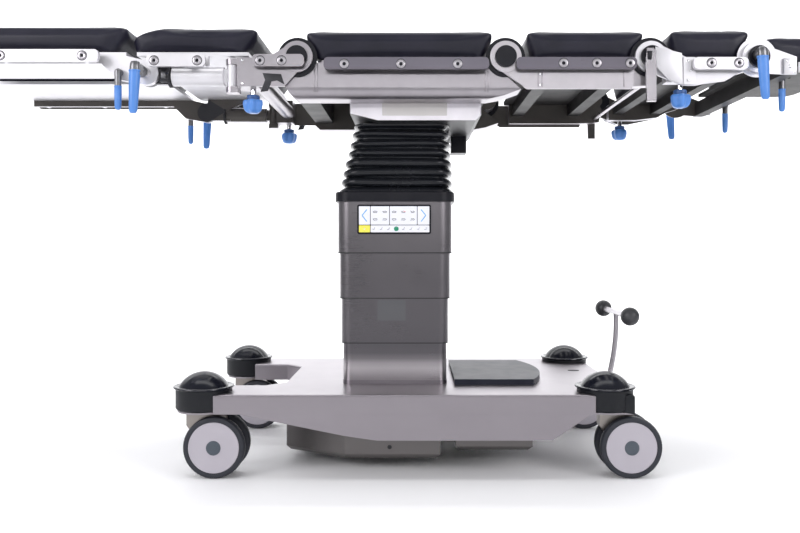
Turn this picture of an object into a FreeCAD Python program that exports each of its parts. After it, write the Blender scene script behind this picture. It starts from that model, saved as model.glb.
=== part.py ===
import FreeCAD, Part
import Sketcher
import math
import os
import re

# Operating table. X runs from the leg end (-) to the head end (+), Y across, Z up from the floor.
# The origin lies on the floor below the axis of the lifting column. Lengths are in millimetres.

SIZES = {
    # clearances
    "run_gap": 0.3, "slide_gap": 0.4, "pin_gap": 0.05, "pad_gap": 0.3,
    # base cover with its two arms
    "arm_end": -369, "cover_right": 495, "cover_half": 285, "cover_top": 176, "cover_low": 136,
    "arm_inner": 160, "bay_end": -245, "bay_corner": 40, "cover_round": 5,
    "apron_low": 82.6, "apron_thick": 8, "apron_right": 406,
    # boxes below the cover
    "tank_low": 29, "tank_left": -241, "tank_bend": -105, "tank_right": 99, "tank_half": 220,
    "tank_nose": 137, "rear_box_left": 132, "rear_box_right": 298, "rear_box_low": 41,
    "rear_box_half": 200, "bridge_low": 60, "bridge_half": 150, "tank_edge": 9,
    # castors and the bumpers over them
    "bumper_left": -400, "bumper_right": 445, "bumper_across": 235, "bumper_radius": 58,
    "bumper_low": 139.5, "bumper_rim_low": 181, "bumper_rim_high": 188, "bumper_rim": 62,
    "dome_radius": 50, "bumper_top": 218, "castor_out": 9.5, "boss_radius": 19, "boss_top": 180,
    "stem_radius": 11, "stem_top": 172, "seat_radius": 54,
    "wheel_radius": 64, "trail": 38, "wheel_inner": 16, "wheel_outer": 37, "axle_radius": 8,
    "tyre_crown": 5, "hub_recess": 3, "hub_cap_radius": 20, "disc_radius": 46, "fork_half": 14,
    "fork_top": 132.5, "fork_back": 24,
    # foot mat
    "mat_left": 132, "mat_right": 339, "mat_half": 157, "mat_bow": 391, "mat_thick": 12,
    # steering pedal
    "pedal_x": 508, "pedal_z": 165, "pedal_hub": 11, "pedal_pin": 6, "pedal_lug": 9,
    "pedal_top_x": 526, "pedal_top_z": 324, "pedal_stem": 6.5, "pedal_bend": 520,
    "pedal_bar_half": 128, "pedal_bar": 6.5, "pedal_ball": 20.8, "lug_right": 522,
    # telescoping column: one wide, one deep, and a step to each next cover
    "column_wide": 230, "column_deep": 298, "column_wall": 3.6, "column_round": 20,
    "cover_1_top": 308, "cover_2_low": 268.3, "cover_2_top": 408, "cover_3_low": 367.5,
    "cover_3_top": 508, "cover_4_low": 467.7, "cover_4_top": 580,
    "collar_high": 22, "collar_out": 6, "head_plate_thick": 10,
    # telescoping ram inside the column
    "ram_base": 95, "ram_floor": 5, "ram_outer": 60, "ram_wall": 9.95, "ram_1_top": 318,
    "ram_2_low": 182, "ram_3_low": 264, "ram_4_low": 346, "flange_thick": 5,
    # control panel
    "panel_left": -82, "panel_right": 80, "panel_low": 508, "panel_high": 572.5, "panel_thick": 3,
    "panel_border": 3, "panel_recess": 0.8,
    # cardan joint of the table top
    "cardan_z": 678, "ear_radius": 27, "ear_inner": 62, "ear_thick": 16, "cross_half": 36,
    "cross_pin": 14, "cross_high": 46,
    # bellows
    "bellows_folds": 7, "bellows_depth": 10, "bellows_wall": 2.5, "bellows_low_left": -126,
    "bellows_low_right": 129, "bellows_low_half": 162, "bellows_top_left": -94,
    "bellows_top_right": 125, "bellows_top_half": 150,
    # head box under the seat
    "box_left": -96, "box_right": 188, "box_half": 193, "box_low": 753, "box_rise": 15,
    "box_curve": 60, "box_corner": 12, "socket_left": 134, "socket_right": 172, "socket_low": 712,
    "socket_near": 60, "socket_far": 110,
    # seat frame
    "beam_inner": 195, "beam_outer": 262, "beam_low": 789, "box_top": 805, "beam_top": 862,
    "beam_left": -233, "beam_right": 265, "beam_round": 22, "lobe_radius": 30, "small_lobe": 16,
    "board_thick": 7.7, "board_half": 250, "cross_low": 806, "cross_wide": 45,
    # hinge line of the sections
    "hinge_z": 872, "leg_x": -199, "back_x": 232, "upper_x": 532, "head_x": 753,
    "ring_radius": 32.5, "cap_radius": 22, "cover_radius": 41, "cover_thick": 2.2,
    "plate_inner": 264.5, "plate_thick": 6, "cap_out": 279,
    # side rails
    "rail_inner": 280, "rail_thick": 10, "rail_high": 25, "rail_low": 842, "stud_radius": 8,
    "seat_rail_left": -142, "seat_rail_right": 196, "rail_round": 9,
    # pads
    "pad_half": 261.7, "pad_low": 870, "pad_thick": 53, "seat_pad_left": -180,
    "seat_pad_right": 210, "pad_bevel": 16,
    # leg bracket
    "bracket_left": -323, "bracket_right": -280, "bracket_low": 811, "bracket_top": 870,
    "bracket_inner": 215, "bracket_tube": 18, "bracket_tube_x": -293, "bracket_tube_z": 838,
    "short_rail_left": -288, "short_rail_right": -182, "short_rail_low": 848,
    "swing_x": -336, "swing_y": 250, "swing_pin": 6, "lug_radius": 14, "lug_thick": 12,
    "knuckle_radius": 12.5, "leg_knob_x": -294,
    # leg arm and thigh plate
    "arm_radius": 19.5, "arm_z": 834.5, "arm_start": -353, "arm_stop": -460, "knee_x": -513,
    "knee_z": 841, "knee_radius": 25, "knee_inner": 234, "knee_thick": 13, "knee_pin": 9,
    "thigh_pad_left": -545, "thigh_pad_right": -289, "leg_inner": 25, "leg_pad_low": 884,
    "leg_pad_thick": 47, "thigh_rail_left": -504, "thigh_rail_right": -384,
    "thigh_rail_low": 848,
    # calf plate
    "calf_pad_left": -1035, "calf_pad_right": -547, "calf_rail_right": -602,
    "calf_rail_left": -985, "calf_rail_low": 858, "calf_corner": 45,
    # back section
    "back_pad_left": 269, "back_pad_right": 516, "back_low": 806, "back_beam_left": 298,
    "back_beam_inner": 236, "back_rail_left": 252, "back_rail_right": 498, "back_end": 496,
    # release bars at the back joint
    "shaft_x": 527, "shaft_z": 825, "shaft_radius": 5, "bar_left": 516, "bar_right": 538,
    "bar_low": 777, "bar_high": 886, "bar_thick": 8,
    # upper back section
    "upper_pad_left": 582, "upper_pad_right": 734, "upper_low": 813, "upper_end": 716,
    "upper_beam_left": 565, "upper_rail_left": 614, "upper_rail_right": 726,
    "clamp_left": 597, "clamp_right": 622, "clamp_out": 276, "back_knob_x": 590,
    "back_knob_y": 230,
    # head section
    "head_pad_left": 772, "head_pad_right": 1035, "head_pad_half": 190, "head_pad_low": 880,
    "head_pad_thick": 47, "head_bar_left": 806, "head_bar_right": 833, "head_bar_low": 836,
    "head_board_half": 180, "head_lever_x": 850, "head_lever_y": 172,
    "head_lug_thick": 6,
    # knobs and levers
    "knob_radius": 22, "knob_high": 38, "knob_stem": 6, "knob_lobe": 9, "knob_collar": 12,
    "lever_out": 292, "grip_top": 10, "grip_low": 7, "knee_lever_x": -530, "knee_lever_low": 752,
    "calf_lever_x": -563, "calf_lever_low": 761, "small_lever_long": 86, "head_grip_low": 778,
    "small_grip": 8,
}

doc = FreeCAD.newDocument("OperatingTable")
sheet = doc.addObject("Spreadsheet::Sheet", "Sizes")
for row, (alias, amount) in enumerate(SIZES.items(), start=1):
    sheet.set("A%d" % row, alias.replace("_", " "))
    sheet.set("B%d" % row, str(amount))
    sheet.setAlias("B%d" % row, alias)
doc.recompute()

ALIASES = re.compile(r"\b(" + "|".join(sorted(SIZES, key=len, reverse=True)) + r")\b")
AXES = {"X": FreeCAD.Vector(1, 0, 0), "Y": FreeCAD.Vector(0, 1, 0), "Z": FreeCAD.Vector(0, 0, 1)}
NODES = []


def expression(text):
    return ALIASES.sub(lambda found: "Sizes." + found.group(0), str(text))


def number(text):
    return float(sheet.evalExpression(expression(text)))


def bind(piece, prop, text):
    piece.setExpression(prop, expression(text))


def place(piece, corner):
    for axis, text in zip("xyz", corner):
        bind(piece, "Placement.Base." + axis, text)


def node(name, piece):
    piece.Label = name
    NODES.append(piece)
    return piece


def box(name, low, high):
    piece = doc.addObject("Part::Box", name)
    for prop, start, stop in zip(("Length", "Width", "Height"), low, high):
        bind(piece, prop, "(%s) - (%s)" % (stop, start))
    place(piece, low)
    return piece


def rod(name, axis, start, radius, long):
    piece = doc.addObject("Part::Cylinder", name)
    bind(piece, "Radius", radius)
    bind(piece, "Height", long)
    piece.Placement.Rotation = FreeCAD.Rotation(AXES["Z"], AXES[axis])
    place(piece, start)
    return piece


def across(name, x, z, radius, near, far):
    """A round piece along Y on the front side, between two distances from the middle."""
    return rod(name, "Y", (x, "-(%s)" % far, z), radius, "(%s) - (%s)" % (far, near))


def cone(name, start, radius_low, radius_high, high):
    piece = doc.addObject("Part::Cone", name)
    bind(piece, "Radius1", radius_low)
    bind(piece, "Radius2", radius_high)
    bind(piece, "Height", high)
    place(piece, start)
    return piece


def ball(name, centre, radius):
    piece = doc.addObject("Part::Sphere", name)
    bind(piece, "Radius", radius)
    place(piece, centre)
    return piece


def fuse(name, pieces):
    piece = doc.addObject("Part::MultiFuse", name)
    piece.Shapes = pieces
    piece.Refine = True
    return piece


def cut(name, base, tools):
    tool = tools[0] if len(tools) == 1 else group(name + "_tools", tools)
    piece = doc.addObject("Part::Cut", name)
    piece.Base = base
    piece.Tool = tool
    return piece


def group(name, pieces):
    piece = doc.addObject("Part::Compound", name)
    piece.Links = pieces
    return piece


def mirror(name, source):
    piece = doc.addObject("Part::Mirroring", name)
    piece.Source = source
    piece.Normal = AXES["Y"]
    return piece


def both(name, source):
    return group(name, [source, mirror(name + "_far", source)])


def sketch_in(body, plane, offset):
    sketch = body.newObject("Sketcher::SketchObject", body.Name + "_sketch")
    origin = [f for f in body.Origin.OriginFeatures if f.Role == plane + "_Plane"][0]
    sketch.AttachmentSupport = (origin, "")
    sketch.MapMode = "FlatFace"
    bind(sketch, "AttachmentOffset.Base.z", offset)
    return sketch


def pin_point(sketch, index, end, point):
    """Fix one end of one line at a place given by two expressions."""
    for kind, text in zip(("DistanceX", "DistanceY"), point):
        made = sketch.addConstraint(Sketcher.Constraint(kind, -1, 1, index, end, number(text)))
        sketch.setExpression("Constraints[%d]" % made, expression(text))


def arc_between(start, stop, radius, side):
    """The short arc from start to stop whose centre lies left (1) or right (-1) of the line."""
    along = stop - start
    left = FreeCAD.Vector(-along.y, along.x, 0).normalize() * side
    middle = (start + stop) / 2
    rise = radius - math.sqrt(max(radius ** 2 - (along.Length / 2) ** 2, 0))
    return Part.Arc(start, middle - left * rise, stop)


def outline(sketch, points):
    """A closed outline. A point is (x, y), or (x, y, radius, side) where an arc leaves it."""
    places = [FreeCAD.Vector(number(p[0]), number(p[1]), 0) for p in points]
    ends = []
    for i, point in enumerate(points):
        start, stop = places[i], places[(i + 1) % len(points)]
        if len(point) == 2:
            sketch.addGeometry(Part.LineSegment(start, stop))
            ends.append((1, 2))
            continue
        sketch.addGeometry(arc_between(start, stop, number(point[2]), point[3]))
        forward = sketch.Geometry[i].StartPoint.distanceToPoint(start) < 1e-6
        ends.append((1, 2) if forward else (2, 1))
    for i, point in enumerate(points):
        following = (i + 1) % len(points)
        meet = Sketcher.Constraint("Coincident", i, ends[i][1], following, ends[following][0])
        sketch.addConstraint(meet)
        pin_point(sketch, i, ends[i][0], point[:2])
        if len(point) == 4:
            made = sketch.addConstraint(Sketcher.Constraint("Radius", i, number(point[2])))
            sketch.setExpression("Constraints[%d]" % made, expression(point[2]))


def ring_sketch(sketch, circles):
    for i, (x, y, radius) in enumerate(circles):
        centre = FreeCAD.Vector(number(x), number(y), 0)
        sketch.addGeometry(Part.Circle(centre, AXES["Z"], number(radius)))
        pin_point(sketch, i, 3, (x, y))
        made = sketch.addConstraint(Sketcher.Constraint("Radius", i, number(radius)))
        sketch.setExpression("Constraints[%d]" % made, expression(radius))


def draw(body, plane, offset, shape):
    sketch = sketch_in(body, plane, offset)
    if len(shape[0]) == 3:
        ring_sketch(sketch, shape)
    else:
        outline(sketch, shape)
    return sketch


def pad(body, plane, shape, start, thick):
    """Raise an outline from start. On the XZ plane start and thick run towards the front."""
    feature = body.newObject("PartDesign::Pad", body.Name + "_pad")
    feature.Profile = draw(body, plane, start, shape)
    bind(feature, "Length", thick)
    body.Tip = feature
    return feature


def pocket(body, plane, shape, start, deep):
    """Cut an outline from start to start + deep, both ways about its middle."""
    feature = body.newObject("PartDesign::Pocket", body.Name + "_pocket")
    feature.Profile = draw(body, plane, "(%s) + (%s) / 2" % (start, deep), shape)
    feature.Midplane = True
    bind(feature, "Length", deep)
    body.Tip = feature
    return feature


def prism(name, plane, shape, start, thick):
    body = doc.addObject("PartDesign::Body", name)
    pad(body, plane, shape, start, thick)
    return body


def lathe(name, plane, shape, axis):
    body = doc.addObject("PartDesign::Body", name)
    feature = body.newObject("PartDesign::Revolution", name + "_turn")
    sketch = draw(body, plane, "0", shape)
    feature.Profile = sketch
    feature.ReferenceAxis = (sketch, [axis])
    feature.Angle = 360
    body.Tip = feature
    return body


def soften(body, kind, size, pick):
    """Round (Fillet) or bevel (Chamfer) the edges of the body that pick says yes to."""
    doc.recompute()
    last = body.Tip
    edges = ["Edge%d" % i for i, edge in enumerate(last.Shape.Edges, start=1) if pick(edge)]
    feature = body.newObject("PartDesign::" + kind, body.Name + "_" + kind)
    feature.Base = (last, edges)
    bind(feature, "Radius" if kind == "Fillet" else "Size", size)
    body.Tip = feature
    return feature


def runs(edge, axis):
    """Whether an edge is straight and parallel to an axis."""
    if len(edge.Vertexes) != 2 or edge.Curve.TypeId != "Part::GeomLine":
        return False
    return abs(edge.tangentAt(edge.FirstParameter).dot(AXES[axis])) > 0.999


def near(value, text):
    return abs(value - number(text)) < 0.01


def rectangle(left, low, right, high):
    return [(left, low), (right, low), (right, high), (left, high)]


def rounded_plate(name, left, right, half, low, thick, radius):
    """A flat plate across the table with rounded upright corners."""
    body = prism(name, "XY", rectangle(left, "-(%s)" % half, right, half), low, thick)
    soften(body, "Fillet", radius, lambda edge: runs(edge, "Z"))
    return body


BUMPERS = [("left", "bumper_left", "- castor_out"), ("right", "bumper_right", "+ castor_out")]
CORNERS = [(side + "_" + end, x, out, sign + "bumper_across")
           for end, x, out in BUMPERS for side, sign in (("front", "-"), ("rear", ""))]


def base_cover():
    """The cover plate with two arms, its castor seats and pedal lugs."""
    plan = [("arm_end", "-cover_half"), ("cover_right", "-cover_half"),
            ("cover_right", "cover_half"), ("arm_end", "cover_half"),
            ("arm_end", "arm_inner"), ("bay_end - bay_corner", "arm_inner"),
            ("bay_end", "arm_inner - bay_corner"), ("bay_end", "bay_corner - arm_inner"),
            ("bay_end - bay_corner", "-arm_inner"), ("arm_end", "-arm_inner")]
    plate = prism("cover_plate", "XY", plan, "cover_low", "cover_top - cover_low")
    soften(plate, "Fillet", "cover_round",
           lambda edge: edge.BoundBox.ZMin > number("cover_top") - 0.01 and not near(
               edge.BoundBox.XMax, "arm_end"))
    wells = [rod("bumper_well_" + name, "Z", (x, y, "bumper_low"), "bumper_radius + run_gap",
                 "cover_top - bumper_low + 1") for name, x, out, y in CORNERS]
    hood = cut("cover_hood", plate, wells)
    seats = [rod("castor_seat_" + name, "Z", (x, y, "cover_low"), "seat_radius",
                 "bumper_low - cover_low") for name, x, out, y in CORNERS]
    bosses = [rod("castor_boss_" + name, "Z", (x + out, y, "bumper_low"), "boss_radius",
                  "boss_top - bumper_low") for name, x, out, y in CORNERS]
    bores = [rod("castor_bore_" + name, "Z", (x + out, y, "cover_low - 1"),
                 "stem_radius + pin_gap", "stem_top - cover_low + 3")
             for name, x, out, y in CORNERS]
    lug = prism("pedal_lug", "XZ",
                [("cover_right", "cover_low + 4"), ("pedal_x", "cover_low + 14"),
                 ("lug_right", "pedal_z - 8"), ("lug_right", "pedal_z + 4"),
                 ("pedal_x", "cover_top"), ("cover_right", "cover_top - 4")],
                "pedal_hub + run_gap", "pedal_lug")
    pin = across("pedal_bore", "pedal_x", "pedal_z", "pedal_pin + pin_gap", "-cover_half",
                 "cover_half")
    ram = rod("ram_bore", "Z", ("0", "0", "cover_low - 1"), "ram_outer", "cover_top")
    whole = fuse("cover_whole", [hood] + seats + bosses + [lug, mirror("lug_far", lug)])
    node("base_cover", cut("cover_cut", whole, bores + [pin, ram]))


def base_underboxes():
    """The chassis boxes below the cover, with the well that holds the ram, and two aprons."""
    body = prism("underboxes", "XY",
                 [("tank_left", "-tank_nose"), ("tank_bend", "-tank_half"),
                  ("tank_right", "-tank_half"), ("tank_right", "tank_half"),
                  ("tank_bend", "tank_half"), ("tank_left", "tank_nose")],
                 "tank_low", "cover_low - tank_low")
    soften(body, "Chamfer", "tank_edge",
           lambda edge: edge.BoundBox.ZMax < number("tank_low") + 0.01)
    pad(body, "XY", rectangle("tank_right", "-bridge_half", "rear_box_left", "bridge_half"),
        "bridge_low", "cover_low - bridge_low")
    pad(body, "XY", rectangle("rear_box_left", "-rear_box_half", "rear_box_right",
                              "rear_box_half"),
        "rear_box_low", "cover_low - rear_box_low")
    soften(body, "Chamfer", "tank_edge",
           lambda edge: near(edge.BoundBox.ZMax, "rear_box_low"))
    pocket(body, "XY", [("0", "0", "ram_outer")], "ram_base", "cover_low - ram_base + 1")
    apron = prism("cover_apron", "XZ",
                  [("arm_end + 53", "cover_low"), ("tank_bend + 4", "apron_low + 9.8"),
                   ("tank_bend + 72", "apron_low"), ("rear_box_right + 28", "apron_low"),
                   ("apron_right", "cover_low")],
                  "cover_half - apron_thick", "apron_thick")
    node("base_underboxes", group("underbox_set", [body, apron, mirror("apron_far", apron)]))


def corner_bumpers():
    """Four domed rubber bumpers, each pushed over its castor boss."""
    bumpers = []
    rise = "(bumper_top - bumper_rim_high)"
    cap = "(dome_radius ^ 2 + %s ^ 2) / 2 / %s" % (rise, rise)
    for name, x, out, y in CORNERS:
        body = lathe("bumper_" + name, "XZ",
                     [("0", "bumper_low"), ("bumper_radius - 3", "bumper_low"),
                      ("bumper_radius", "bumper_low + 3"), ("bumper_radius", "bumper_rim_low"),
                      ("bumper_rim", "bumper_rim_low + 2"), ("bumper_rim", "bumper_rim_high - 2"),
                      ("bumper_rim - 3", "bumper_rim_high"),
                      ("dome_radius", "bumper_rim_high", cap, 1),
                      ("0", "bumper_top")], "V_Axis")
        pocket(body, "XY", [(out, "0", "boss_radius + slide_gap")], "bumper_low - 1",
               "boss_top - bumper_low + 2")
        place(body, (x, y, "0"))
        bumpers.append(body)
    node("corner_bumpers", group("bumpers", bumpers))


def castors():
    """A swivelling fork with its stem and axle, and a pair of wheels, at each corner."""
    for name, x, out, y in CORNERS:
        fork = prism("fork_" + name, "XZ",
                     [("-fork_back", "fork_top"), ("-fork_back", "fork_top - 26"),
                      ("trail - 26", "wheel_radius - 8"), ("trail - 8", "wheel_radius - 24"),
                      ("trail + 16", "wheel_radius - 20"), ("trail + 24", "wheel_radius"),
                      ("trail + 18", "fork_top - 12"), ("trail + 4", "fork_top")],
                     "-fork_half", "fork_half * 2")
        soften(fork, "Fillet", "4", lambda edge: runs(edge, "Y"))
        pad(fork, "XY", [("0", "0", "stem_radius")], "fork_top - 1", "stem_top - fork_top + 1")
        pad(fork, "XZ", [("trail", "wheel_radius", "axle_radius")], "-wheel_outer + 2",
            "wheel_outer * 2 - 4")
        place(fork, (x + out, y, "0"))
        node("castor_fork_" + name, fork)
        wheel = lathe("wheel_" + name, "XY",
                      [("axle_radius + pin_gap", "wheel_inner"),
                       ("wheel_radius - tyre_crown", "wheel_inner"),
                       ("wheel_radius", "wheel_inner + tyre_crown"),
                       ("wheel_radius", "wheel_outer - tyre_crown"),
                       ("wheel_radius - tyre_crown", "wheel_outer"),
                       ("disc_radius + 4", "wheel_outer"),
                       ("disc_radius", "wheel_outer - hub_recess"),
                       ("hub_cap_radius + 3", "wheel_outer - hub_recess"),
                       ("hub_cap_radius", "wheel_outer"),
                       ("axle_radius + pin_gap", "wheel_outer")], "V_Axis")
        pair = both("wheels_" + name, wheel)
        place(pair, (x + out + " + trail", y, "wheel_radius"))
        node("castor_wheels_" + name, pair)


def foot_mat():
    slab = box("mat_slab", ("mat_left", "-mat_half", "cover_top"),
               ("mat_right", "mat_half", "cover_top + mat_thick"))
    bow = rod("mat_bow_round", "Z", ("mat_right - mat_bow", "0", "cover_top"), "mat_bow",
              "mat_thick")
    mat = doc.addObject("Part::Common", "mat_shape")
    mat.Base = slab
    mat.Tool = bow
    node("foot_mat", mat)


def steering_pedal():
    """The T-shaped foot lever: hub and pin in the lugs, a bent stem, a bar and two balls."""
    hub = rod("pedal_hub_round", "Y", ("pedal_x", "-pedal_hub", "pedal_z"), "pedal_hub",
              "pedal_hub * 2")
    pin = rod("pedal_pin_round", "Y", ("pedal_x", "-pedal_hub - pedal_lug", "pedal_z"),
              "pedal_pin", "(pedal_hub + pedal_lug) * 2")
    stem = doc.addObject("PartDesign::Body", "pedal_stem_body")
    path = draw(stem, "XZ", "0", [("pedal_x", "pedal_z", "pedal_bend", 1),
                                  ("pedal_top_x", "pedal_top_z"),
                                  ("pedal_x", "pedal_top_z")])
    section = draw(stem, "XY", "pedal_z", [("pedal_x", "0", "pedal_stem")])
    pipe = stem.newObject("PartDesign::AdditivePipe", "pedal_stem_pipe")
    pipe.Profile = section
    pipe.Spine = (path, ["Edge1"])
    stem.Tip = pipe
    bar = rod("pedal_bar_round", "Y", ("pedal_top_x", "-pedal_bar_half", "pedal_top_z"),
              "pedal_bar", "pedal_bar_half * 2")
    balls = [ball("pedal_ball_" + side, ("pedal_top_x", sign + "pedal_bar_half", "pedal_top_z"),
                  "pedal_ball") for side, sign in (("front", "-"), ("rear", ""))]
    lever = fuse("pedal_lever", [hub, pin, stem, bar])
    node("steering_pedal", cut("pedal_cut", lever, balls))
    node("pedal_balls", group("pedal_ball_pair", balls))


def rounded_tube(name, index, low, high):
    """Column cover of one stage: a box with rounded upright corners, open at both ends."""
    grow = "%d * (column_wall + slide_gap)" % (index - 1)
    wide = "column_wide / 2 + " + grow
    deep = "column_deep / 2 + " + grow
    body = prism(name, "XY", rectangle("-(%s)" % wide, "-(%s)" % deep, wide, deep), low,
                 "%s - (%s)" % (high, low))
    soften(body, "Fillet", "column_round + " + grow, lambda edge: runs(edge, "Z"))
    wide_in = wide + " - column_wall"
    deep_in = deep + " - column_wall"
    tool = prism(name + "_hollow", "XY", rectangle("-(%s)" % wide_in, "-(%s)" % deep_in,
                                                   wide_in, deep_in),
                 "%s - 1" % low, "%s - (%s) + 2" % (high, low))
    soften(tool, "Fillet", "column_round - column_wall + " + grow, lambda edge: runs(edge, "Z"))
    return cut(name + "_tube", body, [tool])


def ram_radius(index):
    """Outer radius of a ram stage, the first being the widest."""
    return "ram_outer - %d * (ram_wall + pin_gap)" % (index - 1)


def ram_tube(name, index, low, high):
    outer = ram_radius(index)
    tube = rod(name + "_outer", "Z", ("0", "0", low), outer, "%s - (%s)" % (high, low))
    bore = rod(name + "_bore", "Z", ("0", "0", "%s - 1" % low), outer + " - ram_wall",
               "%s - (%s) + 2" % (high, low))
    return tube, bore


def column():
    """Four nested covers round a four-stage ram. The outermost cover carries the head."""
    node("column_cover_1", rounded_tube("cover_1", 1, "cover_top", "cover_1_top"))
    node("column_cover_2", rounded_tube("cover_2", 2, "cover_2_low", "cover_2_top"))
    node("column_cover_3", rounded_tube("cover_3", 3, "cover_3_low", "cover_3_top"))
    node("column_cover_4", rounded_tube("cover_4", 4, "cover_4_low", "cover_4_top"))
    tube, bore = ram_tube("ram_1", 1, "ram_base", "ram_1_top")
    bore.setExpression("Placement.Base.z", expression("ram_base + ram_floor"))
    node("lift_ram_1", cut("ram_1_cut", tube, [bore]))
    for index, low, top in ((2, "ram_2_low", "cover_2_top"), (3, "ram_3_low", "cover_3_top")):
        grow = "%d * (column_wall + slide_gap) - column_wall" % (index - 1)
        wide = "column_wide / 2 + " + grow
        deep = "column_deep / 2 + " + grow
        flange = rounded_plate("ram_%d_flange" % index, "-(%s)" % wide, wide, deep,
                               top + " - flange_thick", "flange_thick",
                               "column_round + " + grow)
        tube, bore = ram_tube("ram_%d" % index, index, low, top)
        windows = [box("ram_%d_window_%d" % (index, k),
                       (sign + "ram_outer * 1.15 - 14", "-column_deep / 3",
                        top + " - flange_thick - 1"),
                       (sign + "ram_outer * 1.15 + 14", "column_deep / 3", top + " + 1"))
                   for k, sign in enumerate(("", "-"))]
        node("lift_ram_%d" % index,
             cut("ram_%d_cut" % index, fuse("ram_%d_whole" % index, [tube, flange]),
                 [bore] + windows))


COLLAR_TOP = "cover_4_top + collar_high"


def column_head():
    """Collar, the last ram stage with the head plate and two ears, and the control panel."""
    grow = "3 * (column_wall + slide_gap)"
    outer = "column_wide / 2 + " + grow
    outer_deep = "column_deep / 2 + " + grow
    ring = rounded_plate("collar_outer", "-(%s) - collar_out" % outer, outer + " + collar_out",
                         outer_deep + " + collar_out", "cover_4_top", "collar_high",
                         "column_round + " + grow + " + collar_out")
    soften(ring, "Fillet", "4", lambda edge: near(edge.BoundBox.ZMin, COLLAR_TOP))
    inner = outer + " - column_wall + 1"
    inner_deep = outer_deep + " - column_wall + 1"
    hole = rounded_plate("collar_inner", "-(%s)" % inner, inner, inner_deep, "cover_4_top - 1",
                         "collar_high + 2", "column_round + " + grow + " - 2")
    node("column_collar", cut("collar_cut", ring, [hole]))
    plate_low = COLLAR_TOP + " - head_plate_thick"
    plate = rounded_plate("head_plate", "-(%s)" % inner, inner, inner_deep, plate_low,
                          "head_plate_thick", "column_round + " + grow + " - 2")
    stage = rod("ram_4_stage", "Z", ("0", "0", "ram_4_low"), ram_radius(4),
                plate_low + " - ram_4_low")
    ear = prism("head_ear", "XZ",
                [("-ear_radius - 12", COLLAR_TOP), ("ear_radius + 12", COLLAR_TOP),
                 ("ear_radius", "cardan_z", "ear_radius", 1),
                 ("0", "cardan_z + ear_radius", "ear_radius", 1), ("-ear_radius", "cardan_z")],
                "ear_inner", "ear_thick")
    bore = across("head_ear_bore", "0", "cardan_z", "cross_pin + pin_gap", "-column_deep / 2",
                  "column_deep / 2")
    whole = fuse("head_whole", [plate, stage, ear, mirror("head_ear_far", ear)])
    node("lift_ram_4", cut("head_cut", whole, [bore]))
    front = outer_deep
    panel = prism("panel_plate", "XZ", rectangle("panel_left", "panel_low", "panel_right",
                                                 "panel_high"), front, "panel_thick")
    soften(panel, "Fillet", "4", lambda edge: runs(edge, "Y"))
    pocket(panel, "XZ", rectangle("panel_left + panel_border", "panel_low + panel_border",
                                  "panel_right - panel_border", "panel_high - panel_border"),
           front + " + panel_thick - panel_recess", "panel_recess + 1")
    node("control_panel", panel)


def tilt_cross():
    """The cross of the cardan joint: a block with a shaft each way."""
    block = box("cross_block", ("-cross_half", "-cross_half", "cardan_z - cross_high / 2"),
                ("cross_half", "cross_half", "cardan_z + cross_high / 2"))
    reach = "ear_inner + ear_thick"
    shafts = [rod("cross_shaft_x", "X", ("-(%s)" % reach, "0", "cardan_z"), "cross_pin",
                  "(%s) * 2" % reach),
              rod("cross_shaft_y", "Y", ("0", "-(%s)" % reach, "cardan_z"), "cross_pin",
                  "(%s) * 2" % reach)]
    shoulders = [rod("cross_shoulder_x", "X", ("-ear_inner + run_gap", "0", "cardan_z"),
                     "cross_pin + 6", "(ear_inner - run_gap) * 2"),
                 rod("cross_shoulder_y", "Y", ("0", "-ear_inner + run_gap", "cardan_z"),
                     "cross_pin + 6", "(ear_inner - run_gap) * 2")]
    node("tilt_cross", fuse("cross_whole", [block] + shafts + shoulders))


def bellows_loft(name, inset, kind, body):
    """Loft through the ridges and grooves of the folds, drawn in from the outside by inset."""
    sections = []
    steps = int(number("bellows_folds")) * 2
    for step in range(steps + 1):
        share = "%d / %d" % (step, steps)
        fold = "bellows_depth" if step % 2 == 0 else "0"
        left = "bellows_low_left + (bellows_top_left - bellows_low_left) * %s + %s + %s"
        right = "bellows_low_right + (bellows_top_right - bellows_low_right) * %s - %s - %s"
        half = "bellows_low_half + (bellows_top_half - bellows_low_half) * %s - %s - %s"
        left, right, half = [side % (share, fold, inset) for side in (left, right, half)]
        height = "%s + (box_low - (%s)) * %s" % (COLLAR_TOP, COLLAR_TOP, share)
        sections.append(draw(body, "XY", height, rectangle(left, "-(%s)" % half, right, half)))
    loft = body.newObject("PartDesign::" + kind, name)
    loft.Profile = sections[0]
    loft.Sections = sections[1:]
    loft.Ruled = True
    body.Tip = loft


def bellows():
    body = doc.addObject("PartDesign::Body", "bellows_body")
    bellows_loft("bellows_outside", "0", "AdditiveLoft", body)
    bellows_loft("bellows_inside", "bellows_wall", "SubtractiveLoft", body)
    node("bellows", body)


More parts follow.
